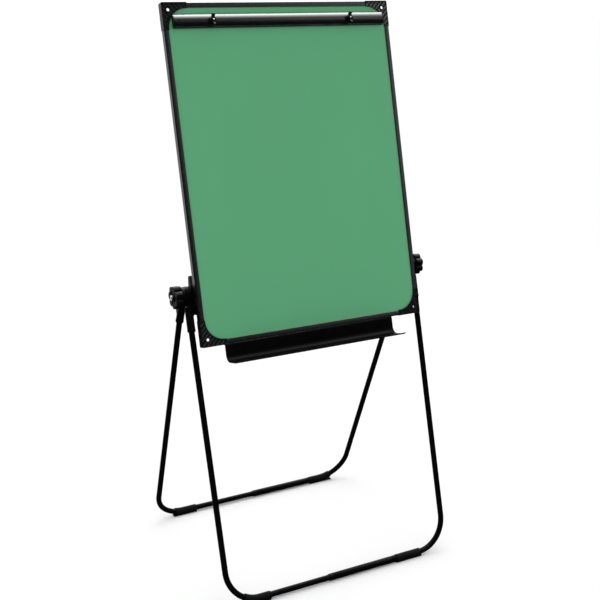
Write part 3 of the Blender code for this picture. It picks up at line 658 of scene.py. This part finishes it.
def make_clamp():
    """The half-round bar with a grip groove near its lower edge, and its two end caps."""
    low, high = extent("clamp_bar", BOARD)
    middle = (low.y + high.y) / 2
    half = (high.y - low.y) / 2
    depth = high.z - low.z
    grip_low, grip_high = (part * half for part in CLAMP_GRIP)
    outer = half_oval(half, depth, 72)
    outer = [(f - CLAMP_GRIP_DEPTH if grip_low < u < grip_high else f, u) for f, u in outer]
    inner = half_oval(half - CLAMP_WALL, depth - CLAMP_WALL, 48)
    section = [(-low.z - f, middle + u) for f, u in outer + inner[::-1]]
    mesh = prism([section], low.x, high.x, PLANE_ZY)
    studs = []
    for _, hand in SIDES:
        stud_low, stud_high = extent(f"peg_stud_{hand}", BOARD)
        centre = ((stud_low.x + stud_high.x) / 2, middle, 0)
        studs.append(("DIFFERENCE", cylinder(centre, depth / 2, 2 * depth, CLAMP_STUD_HOLE, "Z")))
    mesh = combined(mesh, studs)
    finish_piece("clamp_bar_extrusion", mesh, ALUMINIUM_ACROSS, BOARD, "clamp", ["clamp_bar"])
    for _, hand in SIDES:
        name = f"clamp_end_{hand}"
        low, high = extent(name, BOARD)
        cap = [(-low.z - f, middle + u) for f, u in half_oval(half, depth, 48)]
        mesh = prism([cap], low.x, high.x, PLANE_ZY)
        finish_piece(f"{name}_cap", mesh, PLASTIC, BOARD, "clamp", [name], 0.0006, 3, 50)


def wing_ear(side):
    """One ear of a wing nut, rising from the hub and leaning forward, as (forward, up)."""
    rim = [(0.0012, 0.0030), (0.0018, 0.0066), (0.0030, 0.0100), (0.0052, 0.0134), (0.0082, 0.0154)]
    rim += [(0.0110, 0.0161), (0.0134, 0.0158), (0.0150, 0.0144), (0.0150, 0.0128), (0.0136, 0.0108)]
    rim += [(0.0114, 0.0088), (0.0100, 0.0066), (0.0092, 0.0045), (0.0088, 0.0030)]
    return [(forward, side * up) for forward, up in rim]


def stud_profile(low, high, head, thread_end):
    """A stud's profile from its domed tip, down its thread and plain shank, to its round head."""
    r = STUD_RADIUS
    profile = [(0, high), (r * 0.45, high - 0.0003), (r * 0.8, high - 0.0010), (r, high - 0.0020)]
    height = high - 0.0024
    while height > thread_end:
        profile += [(r, height), (r - THREAD_DEPTH, height - THREAD_PITCH / 2)]
        height -= THREAD_PITCH
    back = low + STUD_HEAD
    profile += [(r - 0.0001, thread_end - THREAD_PITCH), (r - 0.0001, back), (head, back), (head, back - 0.0013)]
    profile += [(head * 0.9, back - 0.0019), (head * 0.6, back - 0.0024), (0, low)]
    return profile


def make_pegs():
    """Threaded studs with domed ends, and the wing nuts on them."""
    for _, hand in SIDES:
        stud = f"peg_stud_{hand}"
        nut = f"thumb_nut_{hand}"
        low, high = extent(stud, BOARD)
        base = extent(nut, BOARD)[0].z
        axis = Matrix.Translation(((low.x + high.x) / 2, (low.y + high.y) / 2, 0))
        mesh = lathe(stud_profile(low.z, high.z, (high.x - low.x) / 2, base - 0.002), 32, axis)
        finish_piece(f"{stud}_bolt", mesh, ZINC, BOARD, "board", [stud], angle=30)
        top = base + WING_HUB_HEIGHT
        bore = STUD_RADIUS + GAP
        hub = [(bore, top), (0.0066, top), (0.0076, top - 0.0005), (0.0084, top - 0.0018)]
        hub += [(0.0092, base + 0.0020), (0.0092, base + 0.0008), (0.0088, base), (bore, base)]
        ears = []
        for side in (-1, 1):
            loop = [(-base - forward, up) for forward, up in wing_ear(side)]
            ear = prism([loop], -WING_HALF_THICKNESS, WING_HALF_THICKNESS, PLANE_ZY)
            ears.append(("UNION", bevelled(ear, 0.0012, 3, 50)))
        mesh = combined(lathe(hub, 48), ears)
        mesh.transform(axis)
        finish_piece(f"{nut}_wings", mesh, KNOB_PLASTIC, BOARD, nut, [nut], angle=40)


# --- Pen tray ---------------------------------------------------------------------------------------

TRAY_SHEET = 0.0016
TRAY_TOP = -0.0018
TRAY_WALL = -0.0010
TRAY_FLOOR = -0.0490
TRAY_BEND = 0.0195
TRAY_FLOOR_END = 0.0555
TRAY_LIP = 0.0115
TRAY_FOLD = 0.0020
TRAY_FLANGE = -0.0142
TRAY_SCREW_HOLE = 0.0018


def tray_line():
    """The folded sheet's middle line, as (forward, up): flange, back wall, bend, floor and front lip."""
    points = [(TRAY_FLANGE, TRAY_TOP), (TRAY_WALL - TRAY_FOLD, TRAY_TOP)]
    points += arc((TRAY_WALL - TRAY_FOLD, TRAY_TOP - TRAY_FOLD), TRAY_FOLD, 90, 0, 8)[1:]
    points += arc((TRAY_WALL + TRAY_BEND, TRAY_FLOOR + TRAY_BEND), TRAY_BEND, 180, 270, 24)
    points += arc((TRAY_FLOOR_END, TRAY_FLOOR + TRAY_LIP), TRAY_LIP, -90, -44, 12)
    return points


def thickened(line, thickness):
    """A closed outline of a sheet about its middle line, with a rounded free edge at its far end."""
    left, right = [], []
    for i, point in enumerate(line):
        before = Vector(line[max(i - 1, 0)])
        after = Vector(line[min(i + 1, len(line) - 1)])
        along = (after - before).normalized()
        aside = Vector((-along.y, along.x)) * thickness / 2
        left.append(tuple(Vector(point) + aside))
        right.append(tuple(Vector(point) - aside))
    start = math.degrees(math.atan2(left[-1][1] - line[-1][1], left[-1][0] - line[-1][0]))
    nose = arc(line[-1], thickness / 2, start, start - 180, 8)[1:-1]
    return left + nose + right[::-1]


def make_tray():
    """The folded tray, with its flange drilled for three screws."""
    low, high = extent("pen_tray", BOARD)
    loop = [(-forward, up) for forward, up in thickened(tray_line(), TRAY_SHEET)]
    mesh = prism([loop], low.x, high.x, PLANE_ZY)
    ends = (TRAY_TOP - CUT_MARGIN, TRAY_TOP + CUT_MARGIN)
    holes = []
    for number in (1, 2, 3):
        screw_low, screw_high = extent(f"tray_screw_{number}", BOARD)
        centre = ((screw_low.x + screw_high.x) / 2, 0, (screw_low.z + screw_high.z) / 2)
        holes.append(("DIFFERENCE", cylinder(centre, *ends, TRAY_SCREW_HOLE, "Y")))
    mesh = combined(mesh, holes)
    finish_piece("pen_tray_sheet", mesh, PAINT, BOARD, "board", ["pen_tray"], 0.0003, 2, 60)


# --- Screws -----------------------------------------------------------------------------------------

# Each size is its shank's radius, its head's radius and its head's height.
BRACKET_SCREW = (0.0020, 0.0038, 0.0023)
TRAY_SCREW = (0.0015, 0.0033, 0.0017)
SOCKET_SCREW = (0.0016, 0.0037, 0.0021)


def screw_mesh(shank, head, head_height, length):
    """A pan-head screw with a cross recess, its head's underside at height 0 and its point down local -Z."""
    profile = [(0, head_height), (head * 0.35, head_height * 0.98), (head * 0.68, head_height * 0.86)]
    profile += [(head * 0.88, head_height * 0.62), (head * 0.98, head_height * 0.30), (head, 0), (shank, 0)]
    profile += [(shank, -length + shank * 0.4), (shank * 0.6, -length), (0, -length)]
    cross = []
    arm, slot = head * 0.52, head * 0.11
    for across, deep in ((arm, slot), (slot, arm)):
        cross.append(("DIFFERENCE", box((-across, -deep, head_height * 0.45), (across, deep, 2 * head_height))))
    return combined(lathe(profile, 32), cross)


def make_screw(name, size, space, body, head_turn, material):
    """A screw in place of its CAD node. Turned by head_turn degrees about X, its head faces the right way."""
    axis, facing = {180: (2, -1), 90: (1, -1), -90: (1, 1)}[head_turn]
    head_height = size[2]
    low, high = extent(name, space)
    seat = [(low[i] + high[i]) / 2 for i in range(3)]
    seat[axis] = high[axis] - head_height if facing > 0 else low[axis] + head_height
    mesh = screw_mesh(*size, high[axis] - low[axis] - head_height)
    mesh.transform(Matrix.Translation(seat) @ Matrix.Rotation(math.radians(head_turn), 4, "X"))
    finish_piece(f"{name}_pan", mesh, material, space, body, [name], angle=30)


def make_screws():
    for _, hand in SIDES:
        for number in (1, 2):
            name = f"bracket_screw_{hand}_{number}"
            make_screw(name, BRACKET_SCREW, BOARD, "board", 180, ZINC)
    for number in (1, 2, 3):
        make_screw(f"tray_screw_{number}", TRAY_SCREW, BOARD, "board", 90, ZINC)
    for leg in LEGS:
        for _, hand in SIDES:
            name = f"{leg.name}_socket_screw_{hand}"
            make_screw(name, SOCKET_SCREW, leg.space, leg.body, -90 * leg.facing, PAINT)


# --- Hinges -----------------------------------------------------------------------------------------

BOLT_RADIUS = 0.0040
BOLT_HEAD = 0.0042
BOLT_PAST_CAD = 0.0022
HOLE_MARGIN = 0.01
RAIL_BACK = -RAIL_DEPTH - GAP
BOSS_RADIUS = 0.0200
BRACKET_FOOT = 0.0040
BRACKET_EAR = 0.0045
BRACKET_TOP_ROUND = 0.0080
BRACKET_SCREW_HOLE = 0.0023


def make_bracket(hand, side):
    """An angle bracket: a foot screwed to the rail's back and an ear that carries the hinge bolt."""
    name = f"board_bracket_{hand}"
    low, high = extent(name, BOARD)
    inner, outer = sorted((abs(low.x), abs(high.x)))
    ear_inner = outer - BRACKET_EAR
    outline = [(RAIL_BACK, high.y)]
    outline += arc((RAIL_BACK - 0.0250, high.y - BRACKET_TOP_ROUND), BRACKET_TOP_ROUND, 90, 140, 8)
    outline += arc((-HINGE_BEHIND_FACE, HINGE_UP_BOARD), BOSS_RADIUS, 95, 235, 28)
    outline += [(RAIL_BACK - 0.0200, low.y), (RAIL_BACK, low.y)]
    ear = prism([[(-f, u) for f, u in outline]], *span(side, ear_inner, outer), PLANE_ZY)
    ear = bevelled(ear, 0.0006, 2, 40)
    left, right = span(side, inner, outer - 0.001)
    foot = box((left, low.y + 0.0002, RAIL_BACK - BRACKET_FOOT), (right, high.y - 0.0002, RAIL_BACK - 0.0001))
    ends = span(side, ear_inner - HOLE_MARGIN, outer + HOLE_MARGIN)
    bolt_hole = cylinder((0, HINGE_UP_BOARD, -HINGE_BEHIND_FACE), *ends, BOLT_RADIUS + GAP, "X")
    changes = [("UNION", bevelled(foot, 0.0005, 2, 40)), ("DIFFERENCE", bolt_hole)]
    for number in (1, 2):
        screw_low, screw_high = extent(f"bracket_screw_{hand}_{number}", BOARD)
        centre = ((screw_low.x + screw_high.x) / 2, (screw_low.y + screw_high.y) / 2, 0)
        hole = cylinder(centre, RAIL_BACK - HOLE_MARGIN, RAIL_BACK + CUT_MARGIN, BRACKET_SCREW_HOLE, "Z")
        changes.append(("DIFFERENCE", hole))
    mesh = combined(ear, changes)
    finish_piece(f"{name}_plate", mesh, PAINT, BOARD, "board", [name])


def washer_profile(inner, outer, low, high, edge):
    """A washer's profile with its outer rims softened."""
    profile = [(inner, high), (outer - edge, high), (outer, high - edge), (outer, low + edge)]
    return profile + [(outer - edge, low), (inner, low)]


KNOB_LOBES = 7
KNOB_STEPS = 168
KNOB_RADIUS = 0.0315
KNOB_LOBE_HEIGHT = 0.0065
KNOB_HUB_HEIGHT = 0.0012
KNOB_POCKET = 0.0096
HEX_RADIUS = 0.0083


def knob_outline():
    """Seven rounded lobes, as (y, z) about the bolt."""
    points = []
    for turn in circle_turns(KNOB_STEPS):
        swell = abs(math.cos(KNOB_LOBES * turn / 2)) ** 0.8
        reach = KNOB_RADIUS - KNOB_LOBE_HEIGHT * (1 - swell)
        points.append((reach * math.cos(turn), reach * math.sin(turn)))
    return points


def make_knob(hand, side):
    """A lobed clamping knob with a dished outer face, and the flange nut moulded into it."""
    name = f"knob_{hand}"
    low, high = extent(name, AT_HINGE)
    inner, outer = sorted((abs(low.x), abs(high.x)))
    body = prism([knob_outline()], *span(side, inner + KNOB_HUB_HEIGHT, outer), PLANE_YZ)
    body = bevelled(body, 0.0024, 4, 60)
    nut_low, nut_high = extent(f"knob_nut_{hand}", AT_HINGE)
    nut_inner, nut_outer = sorted((abs(nut_low.x), abs(nut_high.x)))

    def turned(profile, sides):
        return lathe(profile, sides, outward(side))

    dish = [(0, outer + 0.004), (0.0205, outer + 0.004), (0.0198, outer - 0.0012), (0.0175, outer - 0.0022)]
    dish += [(0.0120, outer - 0.0024), (0, outer - 0.0024)]
    boss = [(0, outer), (0.0106, outer), (0.0114, outer - 0.0008), (0.0120, outer - 0.0030), (0, outer - 0.0030)]
    hub = [(0, inner + 0.004), (0.0125, inner + 0.004), (0.0125, inner), (0, inner)]
    pocket = [(0, outer + 0.01), (KNOB_POCKET, outer + 0.01), (KNOB_POCKET, nut_inner - GAP), (0, nut_inner - GAP)]
    bore = cylinder((0, 0, 0), *span(side, inner - HOLE_MARGIN, outer + HOLE_MARGIN), BOLT_RADIUS + GAP, "X")
    changes = [
        ("DIFFERENCE", turned(dish, 96)),
        ("UNION", turned(boss, 64)),
        ("UNION", turned(hub, 64)),
        ("DIFFERENCE", turned(pocket, 48)),
        ("DIFFERENCE", bore),
    ]
    mesh = combined(body, changes)
    finish_piece(f"{name}_grip", mesh, KNOB_PLASTIC, AT_HINGE, name, [name], angle=35)

    hexagon = arc((0, 0), HEX_RADIUS, 30, 330, 5)
    hex_nut = prism([hexagon], *span(side, nut_inner + 0.001, nut_outer), PLANE_YZ)
    cone = [(0, nut_outer + 0.0003), (0.0070, nut_outer + 0.0002), (0.0092, nut_outer - 0.0012)]
    cone += [(0.0092, nut_inner), (0, nut_inner)]
    flange = [(0, nut_inner + 0.0026), (0.0075, nut_inner + 0.0026), (0.0091, nut_inner + 0.0014)]
    flange += [(0.0092, nut_inner), (0, nut_inner)]
    ends = span(side, nut_inner - HOLE_MARGIN, nut_outer + HOLE_MARGIN)
    through = cylinder((0, 0, 0), *ends, BOLT_RADIUS + GAP, "X")
    changes = [("INTERSECT", turned(cone, 48)), ("UNION", turned(flange, 48)), ("DIFFERENCE", through)]
    mesh = combined(hex_nut, changes)
    finish_piece(f"knob_nut_{hand}_hex", mesh, ZINC, AT_HINGE, name, [f"knob_nut_{hand}"])


def make_hinge(hand, side):
    """One hinge from the board outwards: bracket, domed bolt, washers and knob."""
    place = AT_HINGE @ outward(side)
    name = f"hinge_bolt_{hand}"
    low, high = extent(name, place)
    r, head = BOLT_RADIUS, (high.x - low.x) / 2
    seat = low.z + BOLT_HEAD
    tip = high.z + BOLT_PAST_CAD
    dome = [math.radians(a) for a in range(15, 90, 15)]
    profile = [(0, tip), (r - 0.0016, tip - 0.0002), (r, tip - 0.0012), (r, seat), (head, seat)]
    profile += [(head * math.cos(a), seat - BOLT_HEAD * math.sin(a)) for a in dome]
    profile += [(0, low.z)]
    finish_piece(f"{name}_dome", lathe(profile, 48), ZINC, place, "board", [name], angle=30)
    for kind, material, slot in (
        ("board_washer", NYLON, "black_nylon"),
        ("leg_washer", NYLON, "black_nylon"),
        ("knob_washer", ZINC, "zinc_plated_steel"),
    ):
        washer = f"{kind}_{hand}"
        low, high = extent(washer, place)
        profile = washer_profile(r + GAP, (high.x - low.x) / 2, low.z, high.z, 0.0003)
        finish_piece(f"{washer}_ring", lathe(profile, 64), material, place, "board", [washer], angle=30)
    make_bracket(hand, side)
    make_knob(hand, side)


# --- Legs -------------------------------------------------------------------------------------------

TUBE_RADIUS = 0.00825
TUBE_WALL = 0.0013
TUBE_BORE = TUBE_RADIUS + GAP
TUBE_TOP = -0.042
TUBE_SIDES = 48
BEND_RADIUS = 0.093
DISC_RADIUS = 0.0255
SOCKET_RADIUS = 0.0110
SOCKET_TOP = -0.030
SOCKET_END = -0.098
NECK_REACH = 0.0106
NECK_SHOULDER = 0.0140
NECK_OUTER_DEG = 35
NECK_INNER_DEG = 80
FOOT_RADIUS = 0.0110
FOOT_LIP = 0.0014
FOOT_PAD_PAST_SLEEVE = 0.005
BASE_HEIGHT = 0.012
PAD_HALF_WIDTH = 0.0080
PAD_HEIGHT = 0.0045
COUPLER_GROOVE = 0.012


class Leg:
    """One U leg's own frame: its name, body, space, its widths, and the places read from its coupler."""

    def __init__(self, name, body, space, offset, top_x, base_x, disc):
        self.name = name
        self.body = body
        self.space = space
        self.offset = offset
        self.facing = 1 if offset < 0 else -1
        self.top_x = top_x
        self.base_x = base_x
        self.disc = disc
        low, high = extent(f"{name}_coupler", space)
        self.coupler = (low.x, high.x)
        self.coupler_radius = (high.y - low.y) / 2
        self.length = -(low.z + high.z) / 2


LEGS = (
    Leg("front", "stand", FRONT, -0.0168, 0.3627, 0.3580, (0.3512, 0.3622)),
    Leg("rear", "rear_frame", REAR, 0.0142, 0.3597, 0.3430, (0.3637, 0.3747)),
)


def make_socket(leg, hand, side):
    """A hinge half: a flat disc on the bolt, a neck, and a round socket with a rolled end for the leg's tube."""
    name = f"{leg.name}_socket_{hand}"
    inner = leg.facing
    neck = [(leg.offset - inner * NECK_REACH, -0.048), (leg.offset + inner * NECK_REACH, -0.070)]
    neck += [(leg.offset + inner * NECK_SHOULDER, -0.045)]
    if inner > 0:
        outline = arc((0, 0), DISC_RADIUS, -NECK_INNER_DEG, 180 + NECK_OUTER_DEG, 60) + neck
    else:
        outline = arc((0, 0), DISC_RADIUS, -NECK_OUTER_DEG, 180 + NECK_INNER_DEG, 60) + neck[::-1]
    disc = bevelled(prism([outline], *span(side, *leg.disc), PLANE_YZ), 0.0012, 3, 40)
    r, top, end = SOCKET_RADIUS, SOCKET_TOP, SOCKET_END
    barrel = [(0, top), (r - 0.003, top), (r - 0.0009, top - 0.0009), (r, top - 0.003), (r, end + 0.0075)]
    barrel += [(r + 0.0003, end + 0.0068), (r + 0.0004, end + 0.0055), (r + 0.0004, end + 0.0012)]
    barrel += [(r + 0.0001, end + 0.0003), (r - 0.0006, end), (0, end)]
    centre = (side * leg.top_x, leg.offset, 0)
    bore = cylinder(centre, end - 0.004, TUBE_TOP + 0.001, TUBE_BORE, "Z")
    bolt = cylinder((0, 0, 0), *span(side, 0.34, 0.385), BOLT_RADIUS + GAP, "X")
    barrel = lathe(barrel, 64, Matrix.Translation(centre))
    mesh = combined(disc, [("UNION", barrel), ("DIFFERENCE", bore), ("DIFFERENCE", bolt)])
    finish_piece(f"{name}_hub", mesh, SOCKET_PLASTIC, leg.space, leg.body, [name], angle=38)


def make_tube(leg, hand, side):
    """One side of the U: a tube down from its socket, round the bend and in to the middle of the base bar."""
    name = f"{leg.name}_leg_{hand}"
    middle = sum(leg.coupler) / 2
    bend = arc((leg.base_x - BEND_RADIUS, BEND_RADIUS - leg.length), BEND_RADIUS, 0, -90, 36)
    path = [(leg.top_x, TUBE_TOP), (leg.top_x, SOCKET_END), (leg.top_x, SOCKET_END - 0.006), *bend]
    path = [(side * x, leg.offset, z) for x, z in path] + [(middle + side * 0.001, leg.offset, -leg.length)]
    mesh = tube(path, TUBE_RADIUS, TUBE_RADIUS - TUBE_WALL, TUBE_SIDES)
    finish_piece(f"{name}_tube", mesh, PAINT, leg.space, leg.body, [name], angle=50)


def make_coupler(leg):
    """The sleeve that joins the two tubes, with a rolled groove near each end."""
    low, high = leg.coupler
    r = leg.coupler_radius
    profile = [(TUBE_BORE, high), (r - 0.0006, high), (r, high - 0.0006)]
    for groove in (high - COUPLER_GROOVE, low + COUPLER_GROOVE):
        profile += [(r, groove + 0.0014), (r - 0.0005, groove + 0.0005)]
        profile += [(r - 0.0005, groove - 0.0005), (r, groove - 0.0014)]
    profile += [(r, low + 0.0006), (r - 0.0006, low), (TUBE_BORE, low)]
    mesh = lathe(profile, 64, Matrix.Translation((0, leg.offset, -leg.length)) @ outward(1))
    name = f"{leg.name}_coupler"
    finish_piece(f"{name}_sleeve", mesh, PAINT, leg.space, leg.body, [name], angle=30)


def make_foot(leg, hand, side):
    """A rubber sleeve with soft lips round the base bar and its bend, and a flat pad on the floor."""
    name = f"{leg.name}_foot_{hand}"
    low, high = extent(name, leg.space)
    inner_x, pad_end = sorted((abs(low.x), abs(high.x)))
    outer_x = pad_end - FOOT_PAD_PAST_SLEEVE
    bend_x = leg.base_x - BEND_RADIUS
    swing = math.degrees(math.asin((outer_x - bend_x) / BEND_RADIUS))
    bend = arc((bend_x, BEND_RADIUS - leg.length), BEND_RADIUS, -90, swing - 90, 10)
    path = [(inner_x, -leg.length), *bend] if inner_x < bend_x else bend
    first, *between, last = [Vector((side * x, leg.offset, z)) for x, z in path]
    between = [p for p in between if (last - p).length > 2 * FOOT_LIP < (p - first).length]
    line = [first, *between, last]
    inward = (line[1] - first).normalized()
    back = (line[-2] - last).normalized()
    line = [first, first + inward * FOOT_LIP, *between, last + back * FOOT_LIP, last]
    sleeve = tube(line, FOOT_RADIUS, TUBE_BORE, TUBE_SIDES)
    left, right = span(side, inner_x + 0.0006, pad_end)
    pad = box((left, -PAD_HALF_WIDTH, -BASE_HEIGHT), (right, PAD_HALF_WIDTH, -BASE_HEIGHT + PAD_HEIGHT))
    pad = bevelled(pad, 0.0011, 3, 40)
    lean = Matrix.Rotation(FRONT_LEG_LEAN if leg.name == "front" else -REAR_LEG_LEAN, 4, "X")
    pad.transform(Matrix.Translation((0, leg.offset, -leg.length)) @ lean)
    hollow = rod([first - inward * 0.002, *between, last - back * 0.010], TUBE_BORE, TUBE_SIDES)
    mesh = combined(pad, [("UNION", bevelled(sleeve, 0.0007, 2, 60)), ("DIFFERENCE", hollow)])
    finish_piece(f"{name}_sleeve", mesh, RUBBER, leg.space, leg.body, [name], angle=45)


def make_leg(leg):
    for side, hand in SIDES:
        make_socket(leg, hand, side)
        make_tube(leg, hand, side)
        make_foot(leg, hand, side)
    make_coupler(leg)


make_rails()
make_corners()
make_clamp()
make_pegs()
make_tray()
make_screws()
for side, hand in SIDES:
    make_hinge(hand, side)
for leg in LEGS:
    make_leg(leg)


# --- Floor, light and camera --------------------------------------------------------------------------

FLOOR_RADIUS = 60
STUDIO_RADIANCE = 1.17
ROOM_RADIANCE = 0.02
CEILING_TIP = (0.25, 0.35)
CEILING_EDGE = (0.48, 1.04)
CEILING_FALLOFF = 1.7
CEILING_RADIANCE = 10.0
WINDOW_EDGE = (0.36, 0.62)
WINDOW_SILL = (0.08, 0.26)
WINDOW_RADIANCE = 0.9
BACKDROP_EDGE = (0.72, 0.92)
BACKDROP_RADIANCE = 1.0
LAMP_FROM_MIDDLE = Vector((0.3, 0.8, 2.8))
LAMP_SIZE = (2.4, 1.8)
LAMP_WATTS = 12
CAMERA_FROM_HINGE = Vector((-1.4399, -2.6197, 0.8005))
CAMERA_TILT_DEG = 73.9253
CAMERA_TURN_DEG = -28.6686
CAMERA_LENS = 65.04


def make_floor():
    work = bmesh.new()
    bmesh.ops.create_circle(work, cap_ends=True, segments=64, radius=FLOOR_RADIUS)
    mesh = mesh_from(work, "floor")
    paper = Finish("studio_floor", (0.86, 0.86, 0.86), 0.9, Specular_IOR_Level=0.0)
    cloud = paper.noise(3.0, 2.0)
    mesh.materials.append(paper.use(Base_Color=paper.ramp(cloud, [(0.3, (0.855,) * 3), (0.7, (0.865,) * 3)])))
    floor = linked("studio_floor", mesh)
    floor.location.z = cad_low.z - 0.0001
    floor.visible_glossy = False


def make_world():
    """A white studio for the camera and as soft fill. Reflections see a dark room with a bright ceiling, a white
    backdrop and a window high on the right, so that black stays black away from them."""
    world = bpy.data.worlds.new("studio")
    bpy.context.scene.world = world
    world.use_nodes = True
    world.cycles.sampling_method = "NONE"
    tree = world.node_tree

    def add(kind, *sources, **settings):
        node = tree.nodes.new(kind)
        for key, value in settings.items():
            setattr(node, key, value)
        for socket, source in zip(node.inputs, sources):
            if isinstance(source, bpy.types.NodeSocket):
                tree.links.new(source, socket)
            else:
                socket.default_value = source
        return node.outputs[0]

    way = tree.nodes.new("ShaderNodeSeparateXYZ")
    tree.links.new(tree.nodes.new("ShaderNodeTexCoord").outputs["Generated"], way.inputs[0])
    x, y, z = way.outputs
    ceiling = add("ShaderNodeMath", y, CEILING_TIP[1], z, operation="MULTIPLY_ADD")
    ceiling = add("ShaderNodeMath", x, CEILING_TIP[0], ceiling, operation="MULTIPLY_ADD")
    ceiling = add("ShaderNodeMapRange", ceiling, *CEILING_EDGE, 0.0, 1.0)
    ceiling = add("ShaderNodeMath", ceiling, CEILING_FALLOFF, operation="POWER")
    across = add("ShaderNodeMapRange", x, *WINDOW_EDGE, 0.0, 1.0, interpolation_type="SMOOTHSTEP")
    above = add("ShaderNodeMapRange", z, *WINDOW_SILL, 0.0, 1.0, interpolation_type="SMOOTHSTEP")
    window = add("ShaderNodeMath", across, above, operation="MULTIPLY")
    window = add("ShaderNodeMath", window, WINDOW_RADIANCE, ROOM_RADIANCE, operation="MULTIPLY_ADD")
    behind = add("ShaderNodeMapRange", y, *BACKDROP_EDGE, 0.0, BACKDROP_RADIANCE, interpolation_type="SMOOTHSTEP")
    window = add("ShaderNodeMath", window, behind, operation="ADD")
    room = add("ShaderNodeMath", ceiling, CEILING_RADIANCE, window, operation="MULTIPLY_ADD")
    reflected = add("ShaderNodeBackground", (1, 1, 1, 1), room)
    seen = add("ShaderNodeBackground", (1, 1, 1, 1), STUDIO_RADIANCE)
    glossy = tree.nodes.new("ShaderNodeLightPath").outputs["Is Glossy Ray"]
    mixed = add("ShaderNodeMixShader", glossy, seen, reflected)
    tree.links.new(mixed, tree.nodes["World Output"].inputs["Surface"])


def make_lamp(target):
    """A soft lamp overhead, facing the middle of the easel."""
    data = bpy.data.lights.new("overhead", "AREA")
    data.shape = "RECTANGLE"
    data.size, data.size_y = LAMP_SIZE
    data.energy = LAMP_WATTS
    lamp = linked("overhead", data)
    lamp.location = target + LAMP_FROM_MIDDLE
    lamp.rotation_mode = "QUATERNION"
    lamp.rotation_quaternion = (target - lamp.location).to_track_quat("-Z", "Y")


def make_camera():
    lens = bpy.data.cameras.new("camera")
    lens.lens = CAMERA_LENS
    lens.sensor_width = 36
    lens.clip_end = 200
    camera = linked("camera", lens)
    camera.location = HINGE + CAMERA_FROM_HINGE
    camera.rotation_euler = (math.radians(CAMERA_TILT_DEG), 0, math.radians(CAMERA_TURN_DEG))
    bpy.context.scene.camera = camera


make_floor()
make_world()
make_lamp((cad_low + cad_high) / 2)
make_camera()
bpy.context.scene.view_settings.view_transform = "Standard"
